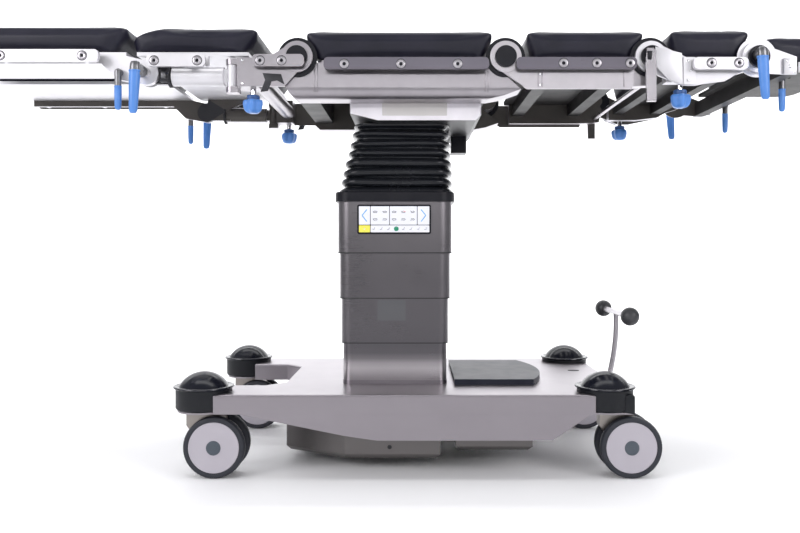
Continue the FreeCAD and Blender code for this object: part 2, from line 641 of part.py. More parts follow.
def head_box():
    """The housing under the seat, with the ears that hang on the cross and a hand-set socket."""
    shell = prism("head_box_shell", "XZ",
                  [("box_left", "box_low + box_rise"), ("box_left + box_curve", "box_low"),
                   ("box_right - box_corner", "box_low"),
                   ("box_right", "box_low + box_corner"), ("box_right", "box_top"),
                   ("box_left", "box_top")], "-box_half", "box_half * 2")
    soften(shell, "Fillet", "6", lambda edge: runs(edge, "Z"))
    shape = [("-ear_radius", "box_low + box_rise + 1"), ("-ear_radius", "cardan_z", "ear_radius", 1),
             ("0", "cardan_z - ear_radius", "ear_radius", 1), ("ear_radius", "cardan_z"),
             ("ear_radius", "box_low + box_rise + 1")]
    ear = prism("seat_ear", "YZ", shape, "ear_inner", "ear_thick")
    far_ear = prism("seat_ear_far", "YZ", shape, "-ear_inner - ear_thick", "ear_thick")
    bore = rod("seat_ear_bore", "X", ("-column_wide", "0", "cardan_z"), "cross_pin + pin_gap",
               "column_wide * 2")
    socket = prism("socket_block", "XZ",
                   [("socket_left", "socket_low"), ("socket_right", "socket_low"),
                    ("socket_right", "box_low + 1"), ("socket_left", "box_low + 1")],
                   "-socket_far", "socket_far - socket_near")
    soften(socket, "Fillet", "4", lambda edge: runs(edge, "Z"))
    whole = fuse("head_box_whole", [shell, ear, far_ear, socket])
    node("head_box", cut("head_box_cut", whole, [bore]))


def seat_frame():
    """Two cast side beams with bearing lobes, two cross members and the board for the pad."""
    beam = prism("seat_beam", "XZ",
                 [("beam_left", "beam_low + 51"), ("beam_left + 3", "beam_low + 39"),
                  ("beam_left + 15", "beam_low + 12"), ("beam_left + 28", "beam_low"),
                  ("beam_right - 69", "beam_low"), ("beam_right - 35", "beam_low + 6"),
                  ("beam_right", "beam_low + 18"), ("beam_right - 62", "beam_top"),
                  ("beam_left + 12", "beam_top")],
                 "beam_inner", "beam_outer - beam_inner")
    soften(beam, "Fillet", "beam_round",
           lambda edge: near(edge.BoundBox.ZMax, "beam_low") and near(
               edge.BoundBox.YMin, "-beam_outer") and runs(edge, "X"))
    lobes = [across("seat_lobe_" + name, x, "hinge_z", "lobe_radius", "beam_inner", "beam_outer")
             for name, x in (("leg", "leg_x"), ("back", "back_x"))]
    side = fuse("seat_side", [beam] + lobes)
    left = box("seat_cross_left", ("beam_left + 18", "-beam_inner", "cross_low"),
               ("beam_left + 18 + cross_wide", "beam_inner", "beam_top"))
    right = box("seat_cross_right", ("beam_right - 65 - cross_wide", "-beam_inner", "cross_low"),
                ("beam_right - 65", "beam_inner", "beam_top"))
    spine = box("seat_spine", ("box_left + 20", "-beam_inner", "box_top"),
                ("box_right - 40", "beam_inner", "beam_top - 20"))
    board = rounded_plate("seat_board", "seat_pad_left + pad_bevel + 4",
                          "seat_pad_right - pad_bevel - 4", "board_half", "beam_top",
                          "board_thick", "12")
    node("seat_frame", fuse("seat_whole", [side, mirror("seat_side_far", side), left, right,
                                           spine, board]))


def rail(name, left, right, low, studs, stud_from, stud_z):
    """A side rail with rounded ends on its stand-offs, on the front side."""
    bar = prism(name + "_bar", "XZ", rectangle(left, low, right, "%s + rail_high" % low),
                "rail_inner", "rail_thick")
    soften(bar, "Fillet", "rail_round", lambda edge: runs(edge, "Y"))
    posts = [across("%s_post_%d" % (name, i), x, stud_z, "stud_radius", stud_from, "rail_inner")
             for i, x in enumerate(studs)]
    return fuse(name, [bar] + posts)


def seat_rails():
    low = "rail_low"
    studs = ["seat_rail_left + 42", "(seat_rail_left + seat_rail_right) / 2 - 11",
             "seat_rail_right - 64"]
    front = rail("seat_rail", "seat_rail_left", "seat_rail_right", low, studs, "beam_outer",
                 low + " + 11")
    node("seat_rails", both("seat_rail_pair", front))


def joint_caps(name, places):
    """Dark cover disc and pin of a joint, on the front side, one fused piece for each place."""
    caps = []
    for i, x in enumerate(places):
        disc = across("%s_disc_%d" % (name, i), x, "hinge_z", "cover_radius", "beam_outer",
                      "beam_outer + cover_thick")
        pin = across("%s_pin_%d" % (name, i), x, "hinge_z", "cap_radius",
                     "beam_outer + cover_thick - 1", "cap_out")
        caps.append(fuse("%s_cap_%d" % (name, i), [disc, pin]))
    return caps


def cushion(name, left, right, bevel_left, bevel_right):
    """A pad across the table, narrower at its underside by a bevel at either end."""
    low, top, half = "pad_low", "pad_low + pad_thick", "pad_half"
    body = prism(name + "_block", "XZ",
                 [("%s + %s" % (left, bevel_left), low), ("%s - %s" % (right, bevel_right), low),
                  (right, "%s - 12" % top), ("%s - 10" % right, top), ("%s + 10" % left, top),
                  (left, "%s - 12" % top)], "-(%s)" % half, "(%s) * 2" % half)
    soften(body, "Fillet", "12", lambda edge: near(edge.BoundBox.ZMin, top) and runs(edge, "X"))
    node(name, body)


def seat_section():
    seat_frame()
    seat_rails()
    caps = joint_caps("seat_joint", ("leg_x", "back_x"))
    node("joint_housings", group("seat_joint_caps", caps + [
        mirror("seat_cap_far_%d" % i, cap) for i, cap in enumerate(caps)]))
    cushion("seat_pad", "seat_pad_left", "seat_pad_right", "pad_bevel", "pad_bevel")


def side_plate(name, shape, ring_x, bore_x):
    """A plate outside the beams with the ring that turns on a joint's pin."""
    plate = prism(name + "_plate", "XZ", shape, "plate_inner", "plate_thick")
    ring = across(name + "_ring", ring_x, "hinge_z", "ring_radius", "plate_inner",
                  "plate_inner + plate_thick + 2")
    bore = across(name + "_bore", bore_x, "hinge_z", "cap_radius + pin_gap", "plate_inner - 1",
                  "rail_inner - 0.5")
    return cut(name, fuse(name + "_solid", [plate, ring]), [bore])


def leg_bracket():
    """Both leg hinge plates with their blocks, lugs and pins, joined by a cross tube."""
    plate = side_plate("bracket_side",
                       [("bracket_left", "bracket_low"), ("beam_left + 8", "bracket_low"),
                        ("leg_x", "hinge_z - ring_radius"), ("leg_x", "hinge_z"),
                        ("leg_x - 22", "hinge_z + 22"), ("leg_x - 62", "bracket_top"),
                        ("bracket_left", "bracket_top")], "leg_x", "leg_x")
    block = box("bracket_block", ("bracket_left", "-plate_inner", "bracket_low"),
                ("bracket_right", "-bracket_inner", "bracket_top"))
    lugs = []
    for name, low in (("low", "bracket_low - lug_thick + 1"), ("high", "bracket_top - lug_thick")):
        lugs.append(rod("swing_lug_" + name, "Z", ("swing_x", "-swing_y", low), "lug_radius",
                        "lug_thick"))
        lugs.append(box("swing_lug_web_" + name, ("swing_x", "-swing_y - lug_radius", low),
                        ("bracket_left + 1", "-swing_y + lug_radius", low + " + lug_thick")))
    pin = rod("swing_pin_round", "Z", ("swing_x", "-swing_y", "bracket_low - lug_thick + 1"),
              "swing_pin", "bracket_top - bracket_low + lug_thick - 1")
    tube = rod("bracket_tube_round", "Y", ("bracket_tube_x", "-bracket_inner - 1",
                                           "bracket_tube_z"), "bracket_tube",
               "(bracket_inner + 1) * 2")
    low = "short_rail_low"
    bar = rail("short_rail", "short_rail_left", "short_rail_right", low,
               ["short_rail_left + 16", "short_rail_left + 50"], "plate_inner + 1",
               low + " + 10")
    side = fuse("bracket_half", [plate, block, pin, bar] + lugs)
    node("leg_bracket", fuse("bracket_whole", [side, mirror("bracket_half_far", side), tube]))


def leg(side, flip):
    """One leg: swinging arm with the thigh plate, the thigh pad, the calf plate and its pad."""
    knuckle = rod("knuckle_" + side, "Z", ("swing_x", "-swing_y", "bracket_low + 1 + run_gap"),
                  "knuckle_radius", "bracket_top - bracket_low - lug_thick - 1 - 2 * run_gap")
    arm = rod("arm_" + side, "X", ("arm_stop", "-swing_y", "arm_z"), "arm_radius",
              "arm_start - arm_stop")
    neck = box("neck_" + side, ("arm_start - 1", "-swing_y - 9", "arm_z - 14"),
               ("swing_x", "-swing_y + 9", "arm_z + 14"))
    outer = "knee_inner + knee_thick"
    hub = across("knee_hub_" + side, "knee_x", "knee_z", "knee_radius", "knee_inner", outer)
    web = prism("knee_web_" + side, "XZ",
                [("knee_x", "knee_z - 20"), ("arm_stop + 10", "arm_z - 16"),
                 ("arm_stop + 10", "arm_z + 16"), ("arm_stop + 70", "leg_pad_low - board_thick"),
                 ("knee_x + 4", "leg_pad_low - board_thick"), ("knee_x", "knee_z + 20")],
                "knee_inner", "knee_thick")
    pin = across("knee_pin_" + side, "knee_x", "knee_z", "knee_pin", outer + " - 1",
                 "plate_inner + plate_thick")
    board = box("thigh_board_" + side, ("thigh_pad_left + 12", "-beam_outer + 2",
                                        "leg_pad_low - board_thick - pad_gap"),
                ("thigh_pad_right - 12", "-leg_inner - 6", "leg_pad_low - pad_gap"))
    beam = box("thigh_beam_" + side, ("thigh_rail_left + 22", "-beam_outer", "thigh_rail_low + 8"),
               ("thigh_rail_right", "-swing_y - 2", "leg_pad_low - board_thick"))
    low = "thigh_rail_low"
    bar = rail("thigh_rail_" + side, "thigh_rail_left", "thigh_rail_right", low,
               ["thigh_rail_left + 30", "thigh_rail_right - 30"], "beam_outer - 1",
               low + " + 16")
    bore = rod("knuckle_bore_" + side, "Z", ("swing_x", "-swing_y", "bracket_low - lug_thick"),
               "swing_pin + pin_gap", "bracket_top")
    whole = cut("leg_arm_cut_" + side,
                fuse("leg_arm_" + side + "_whole", [knuckle, arm, neck, hub, web, pin, board,
                                                    beam, bar]), [bore])
    node("leg_arm_" + side, flip(whole))
    node("thigh_pad_" + side, flip(leg_pad("thigh_" + side, "thigh_pad_left", "thigh_pad_right",
                                           26)))
    node("calf_frame_" + side, flip(calf_frame(side)))
    node("calf_pad_" + side, flip(leg_pad("calf_" + side, "calf_pad_left", "calf_pad_right",
                                          60)))


def leg_pad(name, left, right, round_end):
    """A leg pad, rounded in plan at its foot end."""
    body = prism(name + "_cushion", "XY", rectangle(left, "-pad_half", right, "-leg_inner"),
                 "leg_pad_low", "leg_pad_thick")
    soften(body, "Fillet", str(round_end),
           lambda edge: runs(edge, "Z") and near(edge.BoundBox.XMin, left))
    soften(body, "Fillet", "12",
           lambda edge: near(edge.BoundBox.ZMin, "leg_pad_low + leg_pad_thick"))
    return body


def calf_frame(side):
    """Calf plate with its hinge cheek, edge strip and rail, on the front side."""
    board = prism("calf_board_" + side, "XY",
                  rectangle("calf_pad_left + 18", "-beam_outer + 2", "calf_pad_right - 8",
                            "-leg_inner - 8"),
                  "leg_pad_low - board_thick - pad_gap", "board_thick")
    soften(board, "Fillet", "calf_corner",
           lambda edge: runs(edge, "Z") and edge.BoundBox.XMax < number("calf_pad_left") + 40)
    cheek_in = "knee_inner + knee_thick + run_gap"
    cheek = across("calf_cheek_" + side, "knee_x", "knee_z", "knee_radius", cheek_in,
                   "beam_outer")
    web = prism("calf_web_" + side, "XZ",
                [("knee_x", "knee_z - knee_radius"), ("knee_x - 60", "knee_z - 14"),
                 ("knee_x - 110", "leg_pad_low - board_thick"),
                 ("calf_pad_right - 10", "leg_pad_low - board_thick"),
                 ("knee_x", "knee_z + knee_radius")], cheek_in,
                "beam_outer - (%s)" % cheek_in)
    strip = box("calf_strip_" + side, ("calf_rail_left", "-beam_outer", "calf_rail_low + 2"),
                ("calf_rail_right", "-beam_outer + 10", "leg_pad_low - board_thick"))
    low = "calf_rail_low"
    bar = rail("calf_rail_" + side, "calf_rail_left", "calf_rail_right", low,
               ["calf_rail_right - 33", "calf_rail_right - 200", "calf_rail_left + 30"],
               "beam_outer - 1", low + " + 10")
    bore = across("calf_bore_" + side, "knee_x", "knee_z", "knee_pin + pin_gap", "knee_inner",
                  "rail_inner")
    return cut("calf_cut_" + side, fuse("calf_whole_" + side, [board, cheek, web, strip, bar]),
               [bore])


def back_section():
    """Back frame from joint to joint, its rails, pin caps and pad, and the release bars."""
    plate = side_plate("back_side",
                       [("back_x", "hinge_z"), ("back_x - 26", "hinge_z - 19"),
                        ("back_x + 44", "back_low"), ("back_end - 4", "back_low"),
                        ("back_end", "back_low + 14"), ("back_end", "beam_top"),
                        ("back_x + 24", "beam_top"), ("back_x + 20", "hinge_z + 20")],
                       "back_x", "back_x")
    beam = prism("back_beam", "XZ",
                 [("back_beam_left", "back_low + 6"), ("back_end - 4", "back_low + 6"),
                  ("shaft_x + 12", "shaft_z - 10"), ("upper_x + 14", "beam_top - 12"),
                  ("upper_x", "hinge_z"), ("back_end + 20", "hinge_z"),
                  ("back_end", "beam_top"), ("back_beam_left", "beam_top")],
                 "back_beam_inner", "beam_outer - back_beam_inner")
    spacer = box("back_spacer", ("back_beam_left", "-plate_inner", "back_low + 6"),
                 ("back_end - 4", "-beam_outer", "beam_top"))
    lobe = across("back_lobe", "upper_x", "hinge_z", "small_lobe", "back_beam_inner",
                  "beam_outer")
    side = fuse("back_half", [plate, beam, spacer, lobe])
    ties = [box("back_tie_%d" % i, (x, "-back_beam_inner", "beam_top - 30"),
                (x + " + cross_wide - 15", "back_beam_inner", "beam_top"))
            for i, x in enumerate(("back_beam_left + 8", "back_end - 42"))]
    board = rounded_plate("back_board", "back_pad_left + 14", "back_end", "board_half",
                          "beam_top", "board_thick", "12")
    bore = across("shaft_bore", "shaft_x", "shaft_z", "shaft_radius + pin_gap", "-rail_inner",
                  "rail_inner")
    whole = fuse("back_whole", [side, mirror("back_half_far", side), board] + ties)
    node("back_frame", cut("back_cut", whole, [bore]))
    low = "rail_low"
    bar = rail("back_rail", "back_rail_left", "back_rail_right", low,
               ["back_rail_right - 150", "back_rail_right - 82", "back_rail_right - 14"],
               "plate_inner + plate_thick", low + " + 11")
    caps = joint_caps("back_joint", ("upper_x",))
    pieces = [bar] + caps
    node("back_rails", group("back_rail_set", pieces + [
        mirror("back_rail_far_%d" % i, piece) for i, piece in enumerate(pieces)]))
    cushion("back_pad", "back_pad_left", "back_pad_right", "0", "6")
    release_bar()


def release_bar():
    arm = prism("release_arm", "XZ",
                [("bar_left + 3", "bar_low"), ("bar_right", "bar_low"),
                 ("bar_right", "bar_high - 6"), ("bar_right - 6", "bar_high"),
                 ("bar_left + 3", "bar_high"), ("bar_left", "bar_high - 30")],
                "rail_inner", "bar_thick")
    shaft = rod("release_shaft", "Y", ("shaft_x", "-rail_inner - 1", "shaft_z"), "shaft_radius",
                "(rail_inner + 1) * 2")
    node("release_bar", fuse("release_whole", [arm, mirror("release_arm_far", arm), shaft]))


def upper_section():
    """Upper back: ring at the back joint, clamp block, rails, frame, joint caps and pad."""
    plate = side_plate("upper_side",
                       [("upper_x", "hinge_z - ring_radius"), ("clamp_left", "upper_low"),
                        ("upper_rail_left + 10", "upper_low"),
                        ("upper_end - 20", "upper_low + 15"), ("upper_end", "beam_top - 20"),
                        ("upper_end", "beam_top"), ("clamp_right", "beam_top"),
                        ("clamp_left", "hinge_z + 3"), ("upper_x + 12", "hinge_z + 28"),
                        ("upper_x", "hinge_z")], "upper_x", "upper_x")
    clamp = box("upper_clamp", ("clamp_left", "-clamp_out", "upper_low + 1"),
                ("clamp_right", "-plate_inner", "hinge_z - 2"))
    beam = prism("upper_beam", "XZ",
                 [("upper_beam_left", "upper_low + 8"), ("back_knob_x + 50", "upper_low + 8"),
                  ("upper_end - 20", "upper_low + 15"),
                  ("upper_end", "beam_top - 22"), ("head_x", "hinge_z - 20"),
                  ("head_x", "hinge_z"), ("upper_end", "beam_top"),
                  ("upper_beam_left", "beam_top")],
                 "back_beam_inner", "beam_outer - back_beam_inner")
    spacer = box("upper_spacer", ("upper_beam_left + 10", "-plate_inner", "upper_low + 16"),
                 ("upper_end - 20", "-beam_outer", "beam_top"))
    lobe = across("upper_lobe", "head_x", "hinge_z", "small_lobe", "back_beam_inner",
                  "beam_outer")
    low = "rail_low"
    bar = rail("upper_rail", "upper_rail_left", "upper_rail_right", low,
               ["upper_rail_left + 36", "upper_rail_right - 20"], "plate_inner + 1",
               low + " + 11")
    caps = joint_caps("head_joint", ("head_x",))
    side = fuse("upper_half", [plate, clamp, beam, spacer, lobe, bar] + caps)
    ties = [box("upper_tie_%d" % i, (x, "-back_beam_inner", "beam_top - 26"),
                (x + " + 24", "back_beam_inner", "beam_top"))
            for i, x in enumerate(("upper_beam_left + 12", "upper_end - 40"))]
    board = rounded_plate("upper_board", "upper_pad_left + 10", "upper_pad_right - 12",
                          "board_half", "beam_top", "board_thick", "12")
    node("upper_frame", fuse("upper_whole", [side, mirror("upper_half_far", side), board]
                             + ties))
    cushion("upper_pad", "upper_pad_left", "upper_pad_right", "6", "4")


def head_section():
    """Head rest: two ringed arms, a cross bar, the board and its pad."""
    plate = side_plate("head_side",
                       [("head_x", "hinge_z - ring_radius"),
                        ("head_bar_left", "head_bar_low"), ("head_bar_right", "head_bar_low"),
                        ("head_bar_right", "hinge_z"), ("head_x + 24", "hinge_z + 20"),
                        ("head_x", "hinge_z")], "head_x", "head_x")
    bar = box("head_bar", ("head_bar_left", "-plate_inner - 1", "head_bar_low"),
              ("head_bar_right", "plate_inner + 1", "hinge_z"))
    board = prism("head_board", "XY",
                  rectangle("head_bar_left - 20", "-head_board_half", "head_pad_right - 14",
                            "head_board_half"), "hinge_z", "board_thick")
    soften(board, "Fillet", "40",
           lambda edge: runs(edge, "Z") and edge.BoundBox.XMin > number("head_pad_right") - 60)
    lug = box("head_lug", ("head_lever_x - 12", "-head_lever_y - head_lug_thick", "hinge_z - 26"),
              ("head_lever_x + 12", "-head_lever_y", "hinge_z + 1"))
    side = fuse("head_half", [plate, lug])
    node("head_frame", fuse("head_whole_frame", [side, mirror("head_half_far", side), bar,
                                                 board]))
    body = prism("head_cushion", "XY",
                 rectangle("head_pad_left", "-head_pad_half", "head_pad_right",
                           "head_pad_half"), "head_pad_low", "head_pad_thick")
    soften(body, "Fillet", "50",
           lambda edge: runs(edge, "Z") and edge.BoundBox.XMin > number("head_pad_right") - 1)
    soften(body, "Fillet", "12",
           lambda edge: near(edge.BoundBox.ZMin, "head_pad_low + head_pad_thick"))
    node("head_pad", body)


def star_knob(name, x, y, top):
    """A three-lobed clamping knob hanging under a frame, with its collar and stem."""
    stem = rod(name + "_stem", "Z", (x, y, "%s - 14" % top), "knob_stem", "14")
    collar = cone(name + "_collar", (x, y, "%s - 16" % top), "knob_collar", "knob_collar - 4",
                  "8")
    core = rod(name + "_core", "Z", (x, y, "%s - 14 - knob_high" % top), "knob_radius - 7",
               "knob_high")
    lobes = []
    for i in range(3):
        turn = math.radians(120 * i + 30)
        lobes.append(rod("%s_lobe_%d" % (name, i), "Z",
                         ("%s + (knob_radius - knob_lobe) * %.4f" % (x, math.cos(turn)),
                          "%s + (knob_radius - knob_lobe) * %.4f" % (y, math.sin(turn)),
                          "%s - 10 - knob_high" % top), "knob_lobe", "knob_high - 8"))
    return fuse(name + "_whole", [stem, collar, core] + lobes)


def knobs():
    for side, flip in SIDES:
        node("leg_knob_" + side, flip(star_knob("leg_knob_shape_" + side, "leg_knob_x",
                                                "-swing_y + 8",
                                                "bracket_low - run_gap")))
        node("back_knob_" + side, flip(star_knob("back_knob_shape_" + side, "back_knob_x + 8",
                                                 "-back_knob_y - 18",
                                                 "upper_low + 8 - run_gap")))


def grip(name, x, y, low, high):
    """An upright tapered handle, wider at its top, with a domed end."""
    handle = cone(name + "_taper", (x, y, "%s + grip_low" % low), "grip_low", "grip_top",
                  "%s - (%s) - grip_low" % (high, low))
    return [handle, ball(name + "_end", (x, y, "%s + grip_low" % low), "grip_low")]


def levers():
    """The clamping levers at the knees, the calves and the two head joints."""
    for side, flip in SIDES:
        knee_hub = across("knee_lever_hub_" + side, "knee_x - 6", "knee_z", "grip_top + 3",
                          "plate_inner + plate_thick + pin_gap", "lever_out + 4")
        knee = grip("knee_grip_" + side, "knee_lever_x + 6", "-lever_out - 2",
                    "knee_lever_low", "knee_z")
        node("knee_lever_" + side, flip(fuse("knee_lever_whole_" + side, [knee_hub] + knee)))
        calf_hub = across("calf_lever_hub_" + side, "calf_lever_x - 4", "knee_z - 1",
                          "small_grip", "beam_outer + run_gap", "plate_inner + 18")
        calf = cone("calf_grip_" + side, ("calf_lever_x - 4", "-plate_inner - 10",
                                          "calf_lever_low"), "small_grip - 2", "small_grip",
                    "knee_z - calf_lever_low")
        node("calf_lever_" + side, flip(fuse("calf_lever_whole_" + side, [calf_hub, calf])))
        head_hub = across("head_lever_hub_" + side, "head_x - 3", "hinge_z", "grip_top + 3",
                          "cap_out + pin_gap", "lever_out + 14")
        head = grip("head_grip_" + side, "head_x - 5", "-lever_out - 10", "head_grip_low",
                    "hinge_z")
        node("head_lever_" + side, flip(fuse("head_lever_whole_" + side, [head_hub] + head)))
        tilt_hub = across("tilt_lever_hub_" + side, "head_lever_x", "hinge_z - 16", "small_grip",
                          "head_lever_y - 2 * small_grip", "head_lever_y - run_gap")
        tilt = cone("tilt_grip_" + side, ("head_lever_x", "-head_lever_y + small_grip",
                                          "hinge_z - 16 - small_lever_long"),
                    "small_grip - 2", "small_grip", "small_lever_long")
        node("head_tilt_lever_" + side, flip(fuse("tilt_lever_whole_" + side, [tilt_hub, tilt])))


SIDES = [("front", lambda piece: piece), ("rear", lambda piece: mirror(piece.Name + "_rear",
                                                                      piece))]


def check_and_write():
    doc.recompute()
    failed = [piece.Name for piece in doc.Objects
              if "Invalid" in piece.State or "Error" in piece.State]
    for piece in NODES:
        if piece.Shape.isNull() or not piece.Shape.isValid():
            failed.append(piece.Label)
    if failed:
        raise SystemExit("These did not build: " + ", ".join(failed))
    os.makedirs("parts", exist_ok=True)
    for piece in NODES:
        piece.Shape.exportStep("parts/%s.step" % piece.Label)
        edges = piece.Shape.BoundBox
        print("%-24s %2d solids  X %7.1f %7.1f  Y %7.1f %7.1f  Z %7.1f %7.1f" % (
            piece.Label, len(piece.Shape.Solids), edges.XMin, edges.XMax, edges.YMin,
            edges.YMax, edges.ZMin, edges.ZMax))
    print(len(NODES), "nodes")


base_cover()
base_underboxes()
corner_bumpers()
castors()
foot_mat()
steering_pedal()
column()
column_head()
tilt_cross()
bellows()
head_box()
seat_section()
leg_bracket()
for side, flip in SIDES:
    leg(side, flip)
back_section()
upper_section()
head_section()
knobs()
levers()
check_and_write()
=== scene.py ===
# %% [markdown]
# # The looks of an operating table
# The model of the table is already built at its real size: sheet steel base, telescoping
# column, cast frames, rails, levers. This lesson dresses it. Hard parts keep their own solids
# and get a finish; pads, bellows, grips and wheels are made again here as softer, finer shapes.
# Lengths are written in millimetres, as on a workshop drawing, and turned into metres once,
# where a mesh is made.

# %% The frame that everything is fitted to
import math

import bmesh
import bpy
import numpy as np
from mathutils import Matrix, Vector, noise


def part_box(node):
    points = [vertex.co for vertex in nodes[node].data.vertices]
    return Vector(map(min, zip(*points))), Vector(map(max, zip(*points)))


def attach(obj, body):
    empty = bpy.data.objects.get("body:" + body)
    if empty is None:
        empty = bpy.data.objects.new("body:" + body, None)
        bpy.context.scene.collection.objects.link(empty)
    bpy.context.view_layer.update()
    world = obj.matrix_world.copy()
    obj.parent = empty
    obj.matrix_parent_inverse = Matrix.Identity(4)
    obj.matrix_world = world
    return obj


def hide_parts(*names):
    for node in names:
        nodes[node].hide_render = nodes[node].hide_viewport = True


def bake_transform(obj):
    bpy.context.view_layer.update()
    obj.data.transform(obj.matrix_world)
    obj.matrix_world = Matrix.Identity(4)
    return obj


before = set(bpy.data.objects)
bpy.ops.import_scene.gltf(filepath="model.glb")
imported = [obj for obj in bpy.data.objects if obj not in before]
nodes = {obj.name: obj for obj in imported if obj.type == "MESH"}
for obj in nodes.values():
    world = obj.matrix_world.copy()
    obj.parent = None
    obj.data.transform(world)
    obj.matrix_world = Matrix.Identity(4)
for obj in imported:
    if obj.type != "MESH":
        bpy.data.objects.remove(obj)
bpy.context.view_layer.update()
MM = 0.001

# %% [markdown]
# ## The camera
# The photograph was taken from the long side at about the height of the column's top cover.
# Lines that run away from the viewer meet near the control panel, so the camera looks almost
# straight across the table. The lens is shifted instead of the camera being turned, so the
# column stays upright in the picture. The studio itself comes last, when there is something to
# light.

# %% The camera stands where the photograph's did
PHOTO_WIDE, PHOTO_HIGH, FOCAL_PIXELS, SENSOR = 800, 533, 817.0, 36.0
EYE = Vector((42.6, -1957.0, 475.0)) * MM
VANISHING = (414.0, 249.0)


def placed(name, data):
    """A new object in the scene."""
    made = bpy.data.objects.new(name, data)
    bpy.context.scene.collection.objects.link(made)
    return made


camera = placed("Camera", bpy.data.cameras.new("Camera"))
bpy.context.scene.camera = camera
camera.data.sensor_width = SENSOR
camera.data.lens = FOCAL_PIXELS / PHOTO_WIDE * SENSOR
camera.location = EYE
camera.data.shift_x = (PHOTO_WIDE / 2 - VANISHING[0]) / PHOTO_WIDE
camera.data.shift_y = (VANISHING[1] - PHOTO_HIGH / 2) / PHOTO_WIDE
camera.rotation_euler = (math.radians(90), 0, 0)
NEAREST, FARTHEST = 0.05, 60
camera.data.clip_start, camera.data.clip_end = NEAREST, FARTHEST
print("lens %.1f mm, shifted %.3f and %.3f of the width" % (
    camera.data.lens, camera.data.shift_x, camera.data.shift_y))


# %% [markdown]
# ## Shader maths in plain Python
# A finish is a small network of nodes. Placing nodes one by one hides the thought behind them,
# so a wrapper around a socket lets an expression such as `grain * 0.2 + 0.35` add its own Math
# nodes, and one method makes any other node.

# %% A socket that can be added and multiplied
class Signal:
    """The output of a node, with Python's arithmetic."""

    def __init__(self, finish, socket):
        self.finish, self.socket = finish, socket

    def math(self, operation, first, second=0.0):
        return self.finish.node("ShaderNodeMath", {"operation": operation},
                                {0: first, 1: second})

    def __add__(self, other):
        return self.math("ADD", self, other)

    def __sub__(self, other):
        return self.math("SUBTRACT", self, other)

    def __mul__(self, other):
        return self.math("MULTIPLY", self, other)

    def __truediv__(self, other):
        return self.math("DIVIDE", self, other)

    def __rsub__(self, other):
        return self.math("SUBTRACT", other, self)

    def __rtruediv__(self, other):
        return self.math("DIVIDE", other, self)

    __radd__, __rmul__ = __add__, __mul__


# %% A finish and its nodes
class Finish:
    """One material of the table."""

    def __init__(self, name, colour, **constants):
        self.material = bpy.data.materials.new(name)
        self.material.use_nodes = True
        self.tree = self.material.node_tree
        self.shader = self.tree.nodes["Principled BSDF"]
        self.colour = (*colour, 1.0)
        self.shader.inputs["Base Color"].default_value = self.colour
        self.material.diffuse_color = self.colour
        for socket, value in constants.items():
            self.shader.inputs[self.title(socket)].default_value = value
        self.place = self.node("ShaderNodeTexCoord", output="Object")

    def title(self, socket):
        return socket.replace("_", " ").title().replace("Ior", "IOR")

    def node(self, kind, settings=None, inputs=None, output=0):
        made = self.tree.nodes.new(kind)
        for key, value in (settings or {}).items():
            if key == "stops":
                for stop, (at, shade) in zip(self.stops(made, len(value)), value):
                    stop.position, stop.color = at, (shade, shade, shade, 1)
            else:
                setattr(made, key, value)
        for key, value in (inputs or {}).items():
            if isinstance(value, Signal):
                self.tree.links.new(value.socket, made.inputs[key])
            else:
                made.inputs[key].default_value = value
        return Signal(self, made.outputs[output])

    def stops(self, ramp, count):
        elements = ramp.color_ramp.elements
        while len(elements) < count:
            elements.new(1.0)
        return elements

    def stretched(self, x, y, z):
        """The place on the object with each axis scaled."""
        return self.node("ShaderNodeVectorMath", {"operation": "MULTIPLY"},
                         {0: self.place, 1: (x, y, z)})

    def noise(self, place, scale, detail=3.0, roughness=0.55):
        return self.node("ShaderNodeTexNoise", {},
                         {"Vector": place, "Scale": scale, "Detail": detail,
                          "Roughness": roughness})

    def ramp(self, value, *stops):
        return self.node("ShaderNodeValToRGB", {"stops": stops}, {0: value})

    def mixed(self, share, first, second):
        """A colour between two colours."""
        colours = [value if isinstance(value, Signal) else (*value, 1.0)
                   for value in (first, second)]
        return self.node("ShaderNodeMix", {"data_type": "RGBA"},
                         {0: share, 6: colours[0], 7: colours[1]}, output=2)

    def to(self, **links):
        for socket, signal in links.items():
            self.tree.links.new(signal.socket, self.shader.inputs[self.title(socket)])
        return self

    def bump(self, height, strength, depth, edge=0.0):
        """Relief from a height in 0..1, depth in millimetres, over edges rounded by edge."""
        inputs = {"Height": height, "Strength": strength, "Distance": depth * MM}
        if edge:
            inputs["Normal"] = self.node("ShaderNodeBevel", {"samples": 4},
                                         {"Radius": edge * MM})
        return self.to(normal=self.node("ShaderNodeBump", {}, inputs))


# %% [markdown]
# ## The steel
# Sheet steel on hospital equipment is ground with a fine belt and then blasted or brushed, so
# it mirrors only light and dark, drawn out along the grain. Three things make it: a slightly
# warm grey, a roughness that changes over a hand's width, and a very fine relief stretched
# along the grain. Rounded edges come from a bevel in the normal, so that each fold catches a
# line of light without more faces. The column's covers mirror a dim room and their foot mirrors
# the bright base, which a flat light can't show, so their colour carries painted reflection and
# painted shade that follow the height: brightest at the foot, darkest just below the second
# cover, and lighter again towards the top.

# %% Finishes of steel and cast aluminium
DARKEST = 0.88          # the dullest patch of a metal, as a share of its colour


